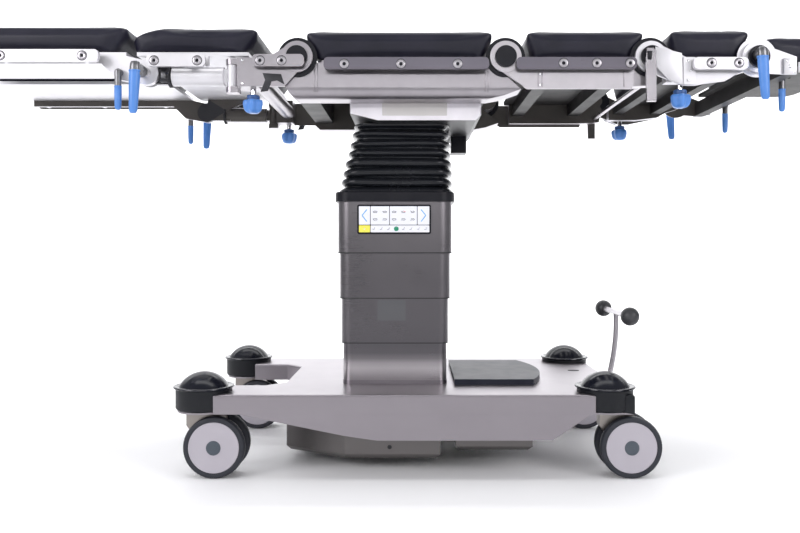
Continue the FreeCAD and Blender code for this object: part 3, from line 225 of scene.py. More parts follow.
def brushed(name, colour, roughness, grain, edge=0.8, depth=0.008):
    """Ground metal: grain gives how fine the marks are along X, Y and Z."""
    finish = Finish(name, colour, metallic=1.0, roughness=roughness)
    marks = finish.noise(finish.stretched(*grain), 1.0, detail=2.0)
    clouds = finish.noise(finish.place, 9.0, detail=4.0)
    smears = finish.noise(finish.stretched(3, 3, 14), 1.0, detail=3.0)
    finish.to(roughness=(marks - 0.5) * 0.10 + (clouds - 0.5) * 0.16 + roughness)
    shade = clouds * 0.6 + smears * 0.4
    darker = tuple(channel * DARKEST for channel in colour)
    finish.to(base_color=finish.mixed(finish.ramp(shade, (0.3, 0.0), (0.7, 1.0)), darker,
                                      colour))
    return finish.bump(marks, 0.25, depth, edge)


def blasted(name, colour, roughness, grain=1400.0, edge=0.8, metallic=1.0):
    """Bead-blasted or cast metal: no direction, a fine even speckle."""
    finish = Finish(name, colour, metallic=metallic, roughness=roughness)
    speckle = finish.noise(finish.place, grain, detail=1.0)
    clouds = finish.noise(finish.place, 14.0, detail=4.0)
    finish.to(roughness=(clouds - 0.5) * 0.14 + (speckle - 0.5) * 0.08 + roughness)
    darker = tuple(channel * DARKEST for channel in colour)
    finish.to(base_color=finish.mixed(finish.ramp(clouds, (0.35, 0.0), (0.65, 1.0)), darker,
                                      colour))
    return finish.bump(speckle, 0.3, 0.05, edge)


# The column's painted reflection and shade: from this height, over this rise (metres), the share
# of the bright colour at each height.
COLUMN_FOOT, COLUMN_RISE = 0.17, 0.42
COLUMN_PAINTED_LIGHT = [(0.185, 0.787), (0.211, 1.0), (0.222, 0.733), (0.232, 0.293), (0.245, 0.10),
                (0.26, 0.077), (0.31, 0.133), (0.41, 0.187), (0.50, 0.28), (0.58, 0.333)]
COLUMN_PAINTED_SHADE, COLUMN_PAINTED_REFLECTION = (0.090, 0.085, 0.094), (0.46, 0.43, 0.45)


def column_painted_light_finish():
    """Ground steel with painted reflection and shade that follow the height above the floor, in
    metres.
    """
    finish = brushed("column_steel_painted_light", (0.20, 0.19, 0.205), 0.30, (30, 30, 1800))
    height = finish.node("ShaderNodeSeparateXYZ", {}, {0: finish.place}, output=2)
    stops = [(round((at - COLUMN_FOOT) / COLUMN_RISE, 3), painted_light_share) for at, painted_light_share in COLUMN_PAINTED_LIGHT]
    painted_light_share = finish.ramp((height - COLUMN_FOOT) / COLUMN_RISE, *stops)
    return finish.to(base_color=finish.mixed(painted_light_share, COLUMN_PAINTED_SHADE, COLUMN_PAINTED_REFLECTION))


# %% Each metal of the table
sheet_steel = brushed("sheet_steel", (0.325, 0.30, 0.325), 0.34, (40, 1500, 1500))
column_steel_painted_light = column_painted_light_finish()
box_steel = brushed("box_steel", (0.17, 0.16, 0.158), 0.36, (30, 1500, 1500))
cast_grey = blasted("cast_grey", (0.36, 0.34, 0.365), 0.33)
cast_light = blasted("cast_light", (0.50, 0.475, 0.505), 0.36)
head_box_grey = blasted("head_box_grey", (0.86, 0.835, 0.88), 0.5, edge=1.5, metallic=0.6)
plate_grey = blasted("plate_grey", (0.72, 0.71, 0.74), 0.45, metallic=0.7)
# The seat and back rails: the same steel as the other rails, made darker as painted shade.
middle_rail_painted_shade = brushed("middle_rail_painted_shade", (0.145, 0.135, 0.16), 0.32, (30, 1800, 1800), edge=0.6,
                      depth=0.004)
upright_steel = brushed("upright_steel", (0.39, 0.37, 0.395), 0.28, (1800, 1800, 30), edge=0.6)
fork_metal = blasted("fork_metal", (0.34, 0.31, 0.29), 0.36, edge=1.2)
screw_steel = blasted("screw_steel", (0.46, 0.44, 0.47), 0.30, edge=0.2)
chrome = brushed("chrome", (0.80, 0.80, 0.82), 0.10, (60, 60, 2500), edge=0.4, depth=0.01)
dark_metal = blasted("dark_metal", (0.045, 0.045, 0.05), 0.42, metallic=0.6)
print("steel finishes:", len(bpy.data.materials))

# %% [markdown]
# ## Rubber, plastic and upholstery
# The bumpers and the bellows are black rubber that has been wiped clean: a dark body with a
# slightly uneven shine. Pads have a fine leather grain. Grips are blue moulded plastic with a
# satin skin. Black things in a white studio turn grey if they mirror too much of it, so each
# black finish has its own, low shine.

# %% Finishes that are not metal
def moulded(name, colour, roughness, grain=700.0, relief=0.08, coat=0.0, cloud=0.06, edge=0.6,
            shine=0.5):
    """Plastic or rubber with an orange-peel skin, duller in patches."""
    finish = Finish(name, colour, roughness=roughness, coat_weight=coat, coat_roughness=0.12,
                    specular_ior_level=shine)
    peel = finish.noise(finish.place, grain, detail=2.0)
    wear = finish.noise(finish.place, 22.0, detail=5.0)
    finish.to(roughness=(wear - 0.5) * 0.22 + roughness)
    lighter = tuple(channel + cloud * (0.25 + channel) for channel in colour)
    finish.to(base_color=finish.mixed(finish.ramp(wear, (0.45, 0.0), (0.85, 1.0)), colour,
                                      lighter))
    return finish.bump(peel, 0.3, relief, edge)


def leather(name):
    """Black coated upholstery: pebble grain with fine creases between the pebbles."""
    finish = Finish(name, (0.008, 0.008, 0.018), roughness=0.42, specular_ior_level=0.36)
    pebbles = finish.node("ShaderNodeTexVoronoi", {"feature": "DISTANCE_TO_EDGE"},
                          {"Vector": finish.place, "Scale": 620.0, "Randomness": 1.0})
    fine = finish.noise(finish.place, 1500.0, detail=2.0)
    clouds = finish.noise(finish.place, 11.0, detail=4.0)
    grain = finish.ramp(pebbles, (0.0, 0.0), (0.22, 1.0)) * 0.7 + fine * 0.3
    finish.to(roughness=(clouds - 0.5) * 0.14 + (1 - grain) * 0.10 + 0.38)
    finish.to(base_color=finish.mixed(finish.ramp(clouds, (0.35, 0.0), (0.75, 1.0)),
                                      (0.006, 0.006, 0.015), (0.013, 0.012, 0.026)))
    return finish.bump(grain, 0.22, 0.06)


def ribbed_mat(name):
    """Blue-grey foot mat with rows of small round studs."""
    finish = Finish(name, (0.018, 0.020, 0.030), roughness=0.42, specular_ior_level=0.18)
    studs = finish.node("ShaderNodeTexVoronoi", {"feature": "F1"},
                        {"Vector": finish.stretched(1, 1, 0.2), "Scale": 170.0,
                         "Randomness": 0.0})
    dust = finish.noise(finish.place, 30.0, detail=5.0)
    finish.to(base_color=finish.mixed(finish.ramp(dust, (0.3, 0.0), (0.8, 1.0)),
                                      (0.018, 0.020, 0.030), (0.028, 0.031, 0.044)))
    finish.to(roughness=dust * 0.16 + 0.34)
    return finish.bump(finish.ramp(studs, (0.15, 1.0), (0.42, 0.0)), 0.35, 0.4, 0.8)


# %% Each rubber, plastic and cover
bumper_rubber = moulded("bumper_rubber", (0.006, 0.007, 0.013), 0.20, relief=0.01, cloud=0.01,
                        shine=0.36)
bumper_skirt = moulded("bumper_skirt", (0.010, 0.011, 0.014), 0.46, grain=1200.0, cloud=0.02,
                       shine=0.22)
bellows_rubber = moulded("bellows_rubber", (0.008, 0.009, 0.012), 0.24, relief=0.01,
                         cloud=0.01, edge=0, shine=0.3)
tyre_rubber = moulded("tyre_rubber", (0.026, 0.028, 0.036), 0.5, grain=1100.0, cloud=0.03,
                      shine=0.3)
wheel_plastic = moulded("wheel_plastic", (0.43, 0.405, 0.45), 0.42, grain=900.0, cloud=0.02)
wheel_cap = moulded("wheel_cap", (0.06, 0.075, 0.095), 0.4, grain=1100.0)
black_plastic = moulded("black_plastic", (0.008, 0.008, 0.012), 0.34, cloud=0.02, shine=0.22)
ball_plastic = moulded("ball_plastic", (0.03, 0.031, 0.035), 0.42, grain=900.0)
grip_blue = moulded("grip_blue", (0.075, 0.23, 0.62), 0.36, grain=900.0, relief=0.1, cloud=0.10)
upholstery = leather("upholstery")
mat_rubber = ribbed_mat("mat_rubber")
print("finishes:", len(bpy.data.materials))

# %% Each node of the frame gets its finish
NODE_FINISH = {
    "base_cover": sheet_steel, "base_underboxes": box_steel, "foot_mat": mat_rubber,
    "corner_bumpers": bumper_skirt, "steering_pedal": upright_steel, "pedal_balls": ball_plastic,
    "column_collar": black_plastic, "control_panel": black_plastic, "bellows": bellows_rubber,
    "tilt_cross": dark_metal, "lift_ram_4": dark_metal, "head_box": head_box_grey,
    "seat_frame": cast_grey, "seat_rails": middle_rail_painted_shade, "joint_housings": black_plastic,
    "leg_bracket": cast_grey, "back_frame": cast_light, "back_rails": middle_rail_painted_shade,
    "release_bar": upright_steel, "upper_frame": plate_grey, "head_frame": plate_grey,
}
PREFIX_FINISH = {
    "column_cover": column_steel_painted_light, "lift_ram": chrome, "castor_fork": fork_metal,
    "castor_wheels": tyre_rubber, "leg_arm": plate_grey, "calf_frame": plate_grey,
    "knee_lever": grip_blue, "calf_lever": grip_blue, "leg_knob": grip_blue,
    "back_knob": grip_blue, "head_lever": grip_blue, "head_tilt": grip_blue,
}


def finish_of(node):
    if node in NODE_FINISH:
        return NODE_FINISH[node]
    if "_pad" in node:
        return upholstery
    return next(finish for start, finish in PREFIX_FINISH.items() if node.startswith(start))


for name, piece in nodes.items():
    piece.data.materials.clear()
    piece.data.materials.append(finish_of(name).material)
print("dressed", len(nodes), "nodes")

# %% [markdown]
# Some nodes are made of several materials on the real table: a rail carries a dark joint disc,
# a leg arm a dark knuckle. Their faces are given a second finish by where they lie, which
# leaves the shape alone.

# %% Second finishes on parts of a node
def dressed(node, finish, chosen):
    """Gives another finish to the faces for which chosen(middle in millimetres, normal)."""
    piece = nodes[node]
    piece.data.materials.append(finish.material)
    slot, count = len(piece.data.materials) - 1, 0
    for face in piece.data.polygons:
        if chosen(face.center / MM, face.normal):
            face.material_index = slot
            count += 1
    print(node, "->", finish.material.name, count, "faces")


def painted(node, finish, low, high, both_sides=True):
    """The same for the faces whose middle lies in a box, on the near side or on both."""
    def inside(middle, normal):
        place = (middle.x, -abs(middle.y) if both_sides else middle.y, middle.z)
        return all(a <= value <= b for a, value, b in zip(low, place, high))
    dressed(node, finish, inside)


# %% [markdown]
# ## Building shapes
# Every shape below is one of four kinds: turned on a lathe, cut from a plate, a block, or a
# skin over rings of points. Each helper returns points and faces in millimetres, a `Part`
# gathers them with their finishes, and the result becomes one object that rides on a body of
# the frame.

# %% Turned on a lathe, or a skin over rings
def turned(profile, centre, axis, steps, shape=None):
    """Points and faces of a profile (radius, height) turned round an axis through centre.
    shape(angle, height) may scale the radius."""
    points, faces, rings = [], [], []
    for radius, height in profile:
        if radius == 0:
            rings.append([len(points)])
            points.append((0, 0, height))
            continue
        rings.append(list(range(len(points), len(points) + steps)))
        for step in range(steps):
            angle = 2 * math.pi * step / steps
            wide = radius * (shape(angle, height) if shape else 1)
            points.append((wide * math.cos(angle), wide * math.sin(angle), height))
    for low, high in zip(rings, rings[1:]):
        if len(low) == 1 and len(high) == 1:
            continue
        for step in range(steps):
            after = (step + 1) % steps
            if len(low) == 1:
                faces.append((low[0], high[after], high[step]))
            elif len(high) == 1:
                faces.append((low[step], low[after], high[0]))
            else:
                faces.append((low[step], low[after], high[after], high[step]))
    if axis == "Y":
        points = [(x, -z, y) for x, y, z in points]
    return [tuple(Vector(point) + Vector(centre)) for point in points], faces


def joined(rings, closed=False):
    """A skin over rings of equally many points; closed joins the last to the first."""
    count = len(rings[0])
    points = [point for ring in rings for point in ring]
    pairs = [(i, i + 1) for i in range(len(rings) - 1)]
    if closed:
        pairs.append((len(rings) - 1, 0))
    faces = [(a * count + i, a * count + (i + 1) % count, b * count + (i + 1) % count,
              b * count + i) for a, b in pairs for i in range(count)]
    return points, faces


print("a cone of 8 steps has", len(turned([(1, 0), (0, 1)], (0, 0, 0), "Z", 8)[1]), "faces")

# %% Plate and block, with rounded edges
def from_bmesh(made):
    made.verts.index_update()
    points = [tuple(vertex.co) for vertex in made.verts]
    faces = [tuple(vertex.index for vertex in face.verts) for face in made.faces]
    made.free()
    return points, faces


def as_bmesh(points, faces):
    made = bmesh.new()
    corners = [made.verts.new(point) for point in points]
    for face in faces:
        made.faces.new([corners[index] for index in face])
    return made


SHARP = math.radians(25)


def softened(points, faces, width):
    """Rounds the sharp edges."""
    made = as_bmesh(points, faces)
    made.normal_update()
    sharp = [edge for edge in made.edges
             if len(edge.link_faces) == 2 and edge.calc_face_angle(0) > SHARP]
    bmesh.ops.bevel(made, geom=sharp, offset=width, offset_type="OFFSET", segments=2,
                    profile=0.5, affect="EDGES", clamp_overlap=True)
    return from_bmesh(made)


def plate(outline, plane, start, thick, edge=0.0):
    """A closed outline (u, v) in plane XZ or XY, from start along the third axis."""
    lay = {"XZ": lambda u, v, w: (u, w, v), "XY": lambda u, v, w: (u, v, w)}[plane]
    count = len(outline)
    points = [lay(u, v, w) for w in (start, start + thick) for u, v in outline]
    faces = [tuple(range(count)), tuple(range(2 * count - 1, count - 1, -1))]
    faces += [(i, i + count, (i + 1) % count + count, (i + 1) % count) for i in range(count)]
    made = as_bmesh(points, faces)
    bmesh.ops.recalc_face_normals(made, faces=made.faces)
    points, faces = from_bmesh(made)
    return softened(points, faces, edge) if edge else (points, faces)


def block(low, high, edge=0.6):
    (x0, y0, z0), (x1, y1, z1) = low, high
    return plate([(x0, z0), (x1, z0), (x1, z1), (x0, z1)], "XZ", y0, y1 - y0, edge)


def rounded_outline(corners, steps):
    """An outline whose corners (u, v, radius) are rounded."""
    line = []
    for index, (u, v, radius) in enumerate(corners):
        here = Vector((u, v))
        before = (Vector(corners[index - 1][:2]) - here).normalized()
        after = (Vector(corners[(index + 1) % len(corners)][:2]) - here).normalized()
        if radius == 0:
            line.append((u, v))
            continue
        half = before.angle(after) / 2
        reach = radius / math.tan(half)
        centre = here + (before + after).normalized() * radius / math.sin(half)
        first, last = here + before * reach - centre, here + after * reach - centre
        sweep = first.angle_signed(last)
        for step in range(steps + 1):
            turn = -sweep * step / steps
            line.append((centre.x + first.x * math.cos(turn) - first.y * math.sin(turn),
                         centre.y + first.x * math.sin(turn) + first.y * math.cos(turn)))
    return line


def rounded_box(left, right, low, high, radius, steps):
    return rounded_outline([(left, low, radius), (right, low, radius), (right, high, radius),
                            (left, high, radius)], steps)


print("a block with soft edges has", len(block((0, 0, 0), (9, 9, 9))[1]), "faces")

# %% A part gathers shapes and becomes an object
class Part:
    """Shapes in millimetres, each with its finish."""

    def __init__(self):
        self.points, self.faces, self.finishes, self.of_face = [], [], [], []

    def add(self, shape, finish, mirror=False):
        points, faces = shape
        if finish not in self.finishes:
            self.finishes.append(finish)
        first = len(self.points)
        if mirror:
            points = [(x, -y, z) for x, y, z in points]
            faces = [tuple(reversed(face)) for face in faces]
        self.points += points
        self.faces += [tuple(first + index for index in face) for face in faces]
        self.of_face += [self.finishes.index(finish)] * len(faces)
        return self

    def both(self, shape, finish):
        return self.add(shape, finish).add(shape, finish, mirror=True)

    def mesh(self, name, smooth=35.0):
        mesh = bpy.data.meshes.new(name)
        mesh.from_pydata([tuple(value * MM for value in point) for point in self.points], [],
                         self.faces)
        mesh.polygons.foreach_set("material_index", self.of_face)
        for finish in self.finishes:
            mesh.materials.append(finish.material)
        made = bmesh.new()
        made.from_mesh(mesh)
        bmesh.ops.recalc_face_normals(made, faces=made.faces)
        for edge in made.edges:
            edge.smooth = edge.calc_face_angle(math.pi) < math.radians(smooth)
        for face in made.faces:
            face.smooth = True
        made.to_mesh(mesh)
        made.free()
        return mesh

    def ride(self, name, body, slot, *stands_for, smooth=35.0):
        piece = placed(name, self.mesh(name, smooth))
        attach(piece, body)
        if stands_for:
            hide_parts(*stands_for)
        return piece


def front_and_rear(make):
    """Calls make(side, mirror) for the near and the far side of the table."""
    for side, mirror in (("front", False), ("rear", True)):
        make(side, mirror)


# %% [markdown]
# ## Screws
# The rails are held by large countersunk screws with a hexagon socket. From a step away each
# reads as a disc with a dark outline and a dark middle, so the gap of the countersink, the flat
# head and the socket are all there as shapes. The gap is a flat dark ring and the socket is
# black: painted shade for the shade in these recesses.

# %% Countersunk screws and small cap screws
def hexagon(angle, height):
    return math.cos(math.pi / 6) / math.cos((angle + math.pi / 6) % (math.pi / 3) - math.pi / 6)


RAIL_FACE, SCREW_RADIUS, SCREW_PROUD = -290.0, 9.0, 0.7
SOCKET_RADIUS = SCREW_RADIUS * 0.42
SCREW_HEAD = [(SCREW_RADIUS, -0.2), (SCREW_RADIUS, SCREW_PROUD * 0.5),
              (SCREW_RADIUS * 0.93, SCREW_PROUD), (SOCKET_RADIUS * 1.3, SCREW_PROUD),
              (SOCKET_RADIUS, SCREW_PROUD * 0.7)]
SCREW_SOCKET = [(SOCKET_RADIUS, SCREW_PROUD * 0.7), (SOCKET_RADIUS * 0.96, 0.1), (0, 0.05)]
SCREW_GAP_PAINTED_SHADE = [(SCREW_RADIUS, 0.02), (SCREW_RADIUS * 1.02, 0.10), (SCREW_RADIUS * 1.15, 0.10),
             (SCREW_RADIUS * 1.16, -0.1)]


def socket_screw(part, x, z, mirror):
    """A screw in the outer face of a rail."""
    place = (x, RAIL_FACE, z)
    part.add(turned(SCREW_HEAD, place, "Y", 32), screw_steel, mirror)
    # The black socket and the dark ring of the gap are painted shade.
    part.add(turned(SCREW_SOCKET, place, "Y", 24, hexagon), black_plastic, mirror)
    part.add(turned(SCREW_GAP_PAINTED_SHADE, place, "Y", 32), dark_metal, mirror)


def cap_screw(part, x, z, face, radius, proud, mirror=False, finish=chrome):
    head = turned([(radius, -0.3), (radius, proud * 0.6), (radius * 0.8, proud),
                   (radius * 0.5, proud), (radius * 0.45, proud * 0.3), (0, proud * 0.3)],
                  (x, face, z), "Y", 18)
    part.add(head, finish, mirror)


def cap_pair(part, x, z, face, radius, proud):
    """The same small screw on the near and the far side."""
    for mirror in (False, True):
        cap_screw(part, x, z, face, radius, proud, mirror)


print("rail screws are %.0f mm across" % (2 * SCREW_RADIUS))

# %% [markdown]
# ## Castors and bumpers
# Each castor is a pair of thin wheels with a plastic disc set into a dark tyre and a small cap
# over the axle. The bumper above is a rubber can with a rolled brim and a polished dome. All of
# them are round, so a profile turned on a lathe is the whole recipe.

# %% Twin wheels
CORNERS = {"front_left": (-371.5, -1), "rear_left": (-371.5, 1),
           "front_right": (492.5, -1), "rear_right": (492.5, 1)}
WHEEL_ACROSS, WHEEL_RADIUS = 235.0, 64.0
TYRE = [(52.6, 35.2), (53.6, 36.4), (55.0, 36.8), (59.0, 36.8), (62.0, 35.6), (63.6, 33.0),
        (64.0, 29.5), (64.0, 23.5), (63.6, 20.0), (62.0, 17.4), (59.0, 16.2), (46.0, 16.0),
        (20.0, 16.2), (8.4, 16.4)]
DISC = [(52.6, 35.3), (51.8, 35.9), (50.6, 36.1), (49.6, 35.7), (48.8, 35.5), (30.0, 36.2),
        (17.5, 36.6), (16.6, 36.9), (15.2, 37.0)]
CAP = [(15.2, 36.6), (14.8, 37.6), (14.2, 37.9), (9.0, 38.1), (8.6, 37.7), (8.2, 37.7),
       (7.8, 38.1), (0.0, 38.2)]
for corner, (x, side) in CORNERS.items():
    wheels = Part()
    for outward in (-1, 1):
        for profile, finish in ((TYRE, tyre_rubber), (DISC, wheel_plastic), (CAP, wheel_cap)):
            shape = [(radius, -outward * depth) for radius, depth in profile]
            place = (x, side * WHEEL_ACROSS, WHEEL_RADIUS)
            wheels.add(turned(shape, place, "Y", 64), finish)
    wheels.ride("twin_wheels_" + corner, "roll_" + corner, "tyre", "castor_wheels_" + corner)
print("wheels:", len(CORNERS) * 2)

# %% Bumpers
BUMPER = [(0, 139.8), (52, 139.8), (56, 141), (57.8, 144), (58, 180), (58.6, 183)]
BRIM = [(58.6, 183), (61.5, 184), (63, 186), (62.4, 188.2), (60, 189), (57, 188.4),
        (54, 187.6), (51.5, 188)]
DOME_RISE, DOME_WIDE, DOME_FOOT = 30.0, 51.5, 188.0
BUMPER_PLACES = (-400.0, 445.0)
ball = (DOME_WIDE ** 2 + DOME_RISE ** 2) / 2 / DOME_RISE
steepest = math.asin(DOME_WIDE / ball)
DOME = [(ball * math.sin(turn), DOME_FOOT + DOME_RISE - ball * (1 - math.cos(turn)))
        for turn in np.linspace(steepest, 0, 16)[:-1]] + [(0, DOME_FOOT + DOME_RISE)]
bumpers = Part()
for x in BUMPER_PLACES:
    for profile, finish in ((BUMPER, bumper_skirt), (BRIM, bumper_rubber),
                            (DOME, bumper_rubber)):
        bumpers.both(turned(profile, (x, -WHEEL_ACROSS, 0), "Z", 64), finish)
bumpers.ride("bumpers", "base", "bumper_rubber", "corner_bumpers", smooth=50)
print("bumper dome ball %.1f mm" % ball)

# %% [markdown]
# ## Bellows
# The bellows hides the tilting head. Its folds are soft: round ridges, tighter grooves, and no
# two quite alike. It stands between three bodies that tilt about two axes, so it is made as two
# halves that meet in a groove at the height of the cross.

# %% Two halves of the bellows
FOLDS, FOLD_DEEP = 7, 11.0
FOOT, TOP, CROSS = 602.0, 753.0, 678.0
FOOT_BOX, TOP_BOX = (-126.0, 129.0, 162.0), (-94.0, 125.0, 150.0)
SQUARENESS = 2 / 6.5    # of a superellipse: almost straight sides and a full round corner
LOOSENESS = 2.6         # how far a fold may sit off its height
LEVEL_GAP, WALL = 1.9, 2.2


def bellows_ring(height, steps=28):
    """A rounded rectangle of points at one height."""
    share = (height - FOOT) / (TOP - FOOT)
    phase = share * FOLDS
    ridge = 0.5 + 0.5 * math.cos(2 * math.pi * phase)
    ridge = 1 - (1 - ridge) ** 1.6
    left, right, half = [a + (b - a) * share for a, b in zip(FOOT_BOX, TOP_BOX)]
    inset = FOLD_DEEP * (1 - ridge)
    centre, wide, deep = (left + right) / 2, (right - left) / 2 - inset, half - inset
    ring = []
    for quarter in range(4):
        turn = quarter * math.pi / 2
        for step in range(steps):
            angle = turn + math.pi / 2 * step / steps
            reach = math.cos(angle), math.sin(angle)
            x = centre + wide * math.copysign(abs(reach[0]) ** SQUARENESS, reach[0])
            y = deep * math.copysign(abs(reach[1]) ** SQUARENESS, reach[1])
            loose = noise.noise(Vector((x, y, round(phase) * 90.0)) * 0.007)
            settle = LOOSENESS * loose * min(1.0, 6 * share, 6 * (1 - share))
            ring.append((x + settle * 0.4, y, height + settle))
    return ring


def bellows_half(low, high):
    levels = np.linspace(low, high, int((high - low) / LEVEL_GAP))
    return joined([bellows_ring(height) for height in levels])


for name, low, high, lower, upper in (
        ("bellows_lower", FOOT - 0.5, CROSS + 1.0, "column_head", "cardan"),
        ("bellows_upper", CROSS - 1.0, TOP + 0.5, "cardan", "seat")):
    part = Part().add(bellows_half(low, high), bellows_rubber)
    half = placed(name, part.mesh(name, smooth=180))
    wall = half.modifiers.new("wall", "SOLIDIFY")
    wall.thickness, wall.offset = WALL * MM, -1
    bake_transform(half)
    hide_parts("bellows")
    print(name, len(half.data.vertices), "points")

# %% [markdown]
# ## Pads
# A pad is foam in a welded cover. The cover is cut as a tray: wide at the top, drawn in towards
# its board below, with rounded corners. A block would look like a brick, so each pad starts a
# little small, is remeshed evenly and blown up gently as cloth. That crowns the top, softens
# the edges and pulls the sides in between the corners, as stuffing does.

# %% The tray shape of a pad
PADS = {
    # name: body, left, right, near, far, low, top, end slopes, corner radii left and right
    "seat_pad": ("seat", -186, 209, -261, 261, 870.5, 928, 26, 22, 12, 12),
    "back_pad": ("back", 275, 524, -261, 261, 870.5, 928, 16, 28, 12, 10),
    "upper_pad": ("upper_back", 574, 744, -261, 261, 870.5, 930, 12, 24, 12, 10),
    "head_pad": ("head", 802, 1035, -190, 190, 880.5, 933, 8, 14, 14, 50),
    "thigh_pad_front": ("leg_front", -549, -282, -261, -25, 884.5, 934, 4, 26, 24, 12),
    "calf_pad_front": ("calf_front", -1035, -551, -264, -23, 884.5, 937, 10, 30, 56, 14),
}
LEAD_LONG, LEAD_DEEP = 80.0, 24.0
DRAWN = 5.0             # how far the long sides are drawn in at the board
SQUARES = 5.0           # the size of the squares a cover is remeshed with
PUFF, CROWN = 2.5, 4.0  # how far the cloth may move, and rise over its cut
SMALLER, RESTING = 2, 1.5   # each side starts this much small, and rests flat up to here


def pad_tray(left, right, near, far, low, top, slope_left, slope_right, round_left,
             round_right):
    """A tray with four rounded corners, drawn in towards its underside."""
    levels = [(low, 3.0, 0.0), (low + 3, 0.0, 0.05), (top - 9, 0.0, 1.0), (top - 3, 0.6, 1.0),
              (top - 0.8, 2.4, 1.0), (top, 6.0, 1.0)]
    rings = []
    for height, inset, opened in levels:
        a = left + inset + slope_left * (1 - opened)
        b = right - inset - slope_right * (1 - opened)
        c, d = near + inset + DRAWN * (1 - opened), far - inset - DRAWN * (1 - opened)
        near_left, near_right = [radius - inset * 0.5 for radius in (round_left, round_right)]
        rings.append([(u, v, height) for u, v in rounded_outline(
            [(a, c, near_left), (b, c, near_right), (b, d, near_right), (a, d, near_left)], 6)])
    points, faces = joined(rings)
    count = len(rings[0])
    faces.append(tuple(range(count - 1, -1, -1)))
    faces.append(tuple(range(len(points) - count, len(points))))
    return points, faces


print("pads cut as trays:", len(PADS))

# %% Even squares, and stuffing
PRESSURE, FRAMES = 4.0, 10
print("the stuffing takes", FRAMES, "frames")


def remeshed(piece):
    """Even squares all over, as a new plain mesh."""
    modifier = piece.modifiers.new("even", "REMESH")
    modifier.mode, modifier.voxel_size = "VOXEL", SQUARES * MM
    bpy.context.view_layer.update()
    depsgraph = bpy.context.evaluated_depsgraph_get()
    mesh = bpy.data.meshes.new_from_object(piece.evaluated_get(depsgraph))
    piece.modifiers.clear()
    piece.data = mesh


def stuffed(piece):
    """Blows the cover up as cloth; no point moves further than the puff."""
    start = np.array([vertex.co for vertex in piece.data.vertices])
    cloth = piece.modifiers.new("stuffing", "CLOTH")
    cloth.settings.use_pressure = True
    cloth.settings.uniform_pressure_force = PRESSURE
    cloth.settings.effector_weights.gravity = 0
    scene = bpy.context.scene
    for step in range(1, FRAMES + 1):
        scene.frame_set(step)
    depsgraph = bpy.context.evaluated_depsgraph_get()
    blown = np.array([vertex.co for vertex in piece.evaluated_get(depsgraph).data.vertices])
    piece.modifiers.clear()
    scene.frame_set(1)
    shift = blown - start
    far = np.linalg.norm(shift, axis=1, keepdims=True)
    shift *= np.minimum(1.0, PUFF * MM / np.maximum(far, 1e-9))
    return start + shift


def settled(points, low, high, flat_below):
    """Keeps a stuffed pad inside its room and flat where it rests on its board."""
    points = np.clip(points, np.array(low) * MM, np.array(high) * MM)
    resting = points[:, 2] < flat_below * MM
    points[resting, 2] = low[2] * MM
    return points


def lead_in(points, left, low, high):
    """The thigh pad falls away towards the knee in one long curve."""
    share = np.clip(((left + LEAD_LONG) * MM - points[:, 0]) / (LEAD_LONG * MM), 0, 1)
    rise = np.clip((points[:, 2] / MM - low) / (high - low), 0, 1)
    points[:, 2] -= LEAD_DEEP * MM * share ** 2 * rise
    return points


# %% Every pad, and the far side's as mirrored copies
def pad(name, body, left, right, near, far, low, top, *cut):
    tray = pad_tray(left + SMALLER, right - SMALLER, near + SMALLER, far - SMALLER, low, top, *cut)
    shape = Part().add(tray, upholstery)
    piece = placed(name + "_cover", shape.mesh(name + "_cover", 180))
    remeshed(piece)
    if name.startswith("thigh"):
        points = np.array([vertex.co for vertex in piece.data.vertices])
        piece.data.vertices.foreach_set("co", lead_in(points, left, low, top).ravel())
    points = stuffed(piece)
    points = settled(points, (left, near, low), (right, far, top + CROWN), low + RESTING)
    piece.data.vertices.foreach_set("co", points.ravel())
    piece.data.materials.clear()
    piece.data.materials.append(upholstery.material)
    piece.data.polygons.foreach_set("use_smooth", [True] * len(piece.data.polygons))
    place_pad(piece, body, name)
    print(name, len(piece.data.vertices), "points")
    return piece


def place_pad(piece, body, node):
    fine = piece.modifiers.new("fine", "SUBSURF")
    fine.levels = fine.render_levels = 1
    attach(piece, body)
    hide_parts(node)


for name, row in PADS.items():
    cover = pad(name, *row)
    if name.endswith("_front"):
        mesh = cover.data.copy()
        mesh.transform(Matrix.Scale(-1, 4, (0, 1, 0)))
        mesh.flip_normals()
        twin = placed(name.replace("front", "rear") + "_cover", mesh)
        place_pad(twin, row[0].replace("front", "rear"), name.replace("front", "rear"))

# %% [markdown]
# ## Grips
# Four kinds of blue grip clamp the sections: big levers at the knees and the head joint, small
# ones at the calves and the head plate, and lobed knobs under the beams. The levers are oval in
# section and taper towards a round end. The knobs have lobes for the fingers, so their radius
# swells and shrinks round the axis.

# %% Levers
GRIP_DEPTH = 0.8        # how much flatter a grip is than it is wide
dark_steel = blasted("dark_steel", (0.20, 0.20, 0.21), 0.34)


def hanging(profile, top, lean):
    """A grip that hangs from top: profile rows are (half width, drop); lean tilts it along X."""
    points, faces = turned([(radius, -drop) for radius, drop in profile], (0, 0, 0), "Z", 32)
    longest = max(drop for _, drop in profile)
    return [(top[0] + x + lean * (-z / longest), top[1] + y * GRIP_DEPTH, top[2] + z)
            for x, y, z in points], faces


BIG_CAP = [(0, 0), (5, 0.3), (8.6, 2), (10, 5), (10.4, 12), (10.6, 19)]
BIG_GRIP = [(10.6, 18.6), (12, 19), (12.2, 21.5), (11.2, 22.4), (11.3, 30), (10.8, 50),
            (9.7, 78), (8.8, 98), (8.0, 103), (5.6, 106.2), (0, 107.4)]
SMALL_CAP = [(0, 0), (4.5, 0.4), (6.6, 2), (7.2, 6), (7.0, 20), (6.8, 34)]
SMALL_GRIP = [(6.8, 33.8), (7.8, 34.2), (8.0, 36.5), (7.4, 37.4), (7.6, 46), (7.2, 66),
              (6.6, 78), (5.4, 81.5), (3.2, 83.4), (0, 84)]


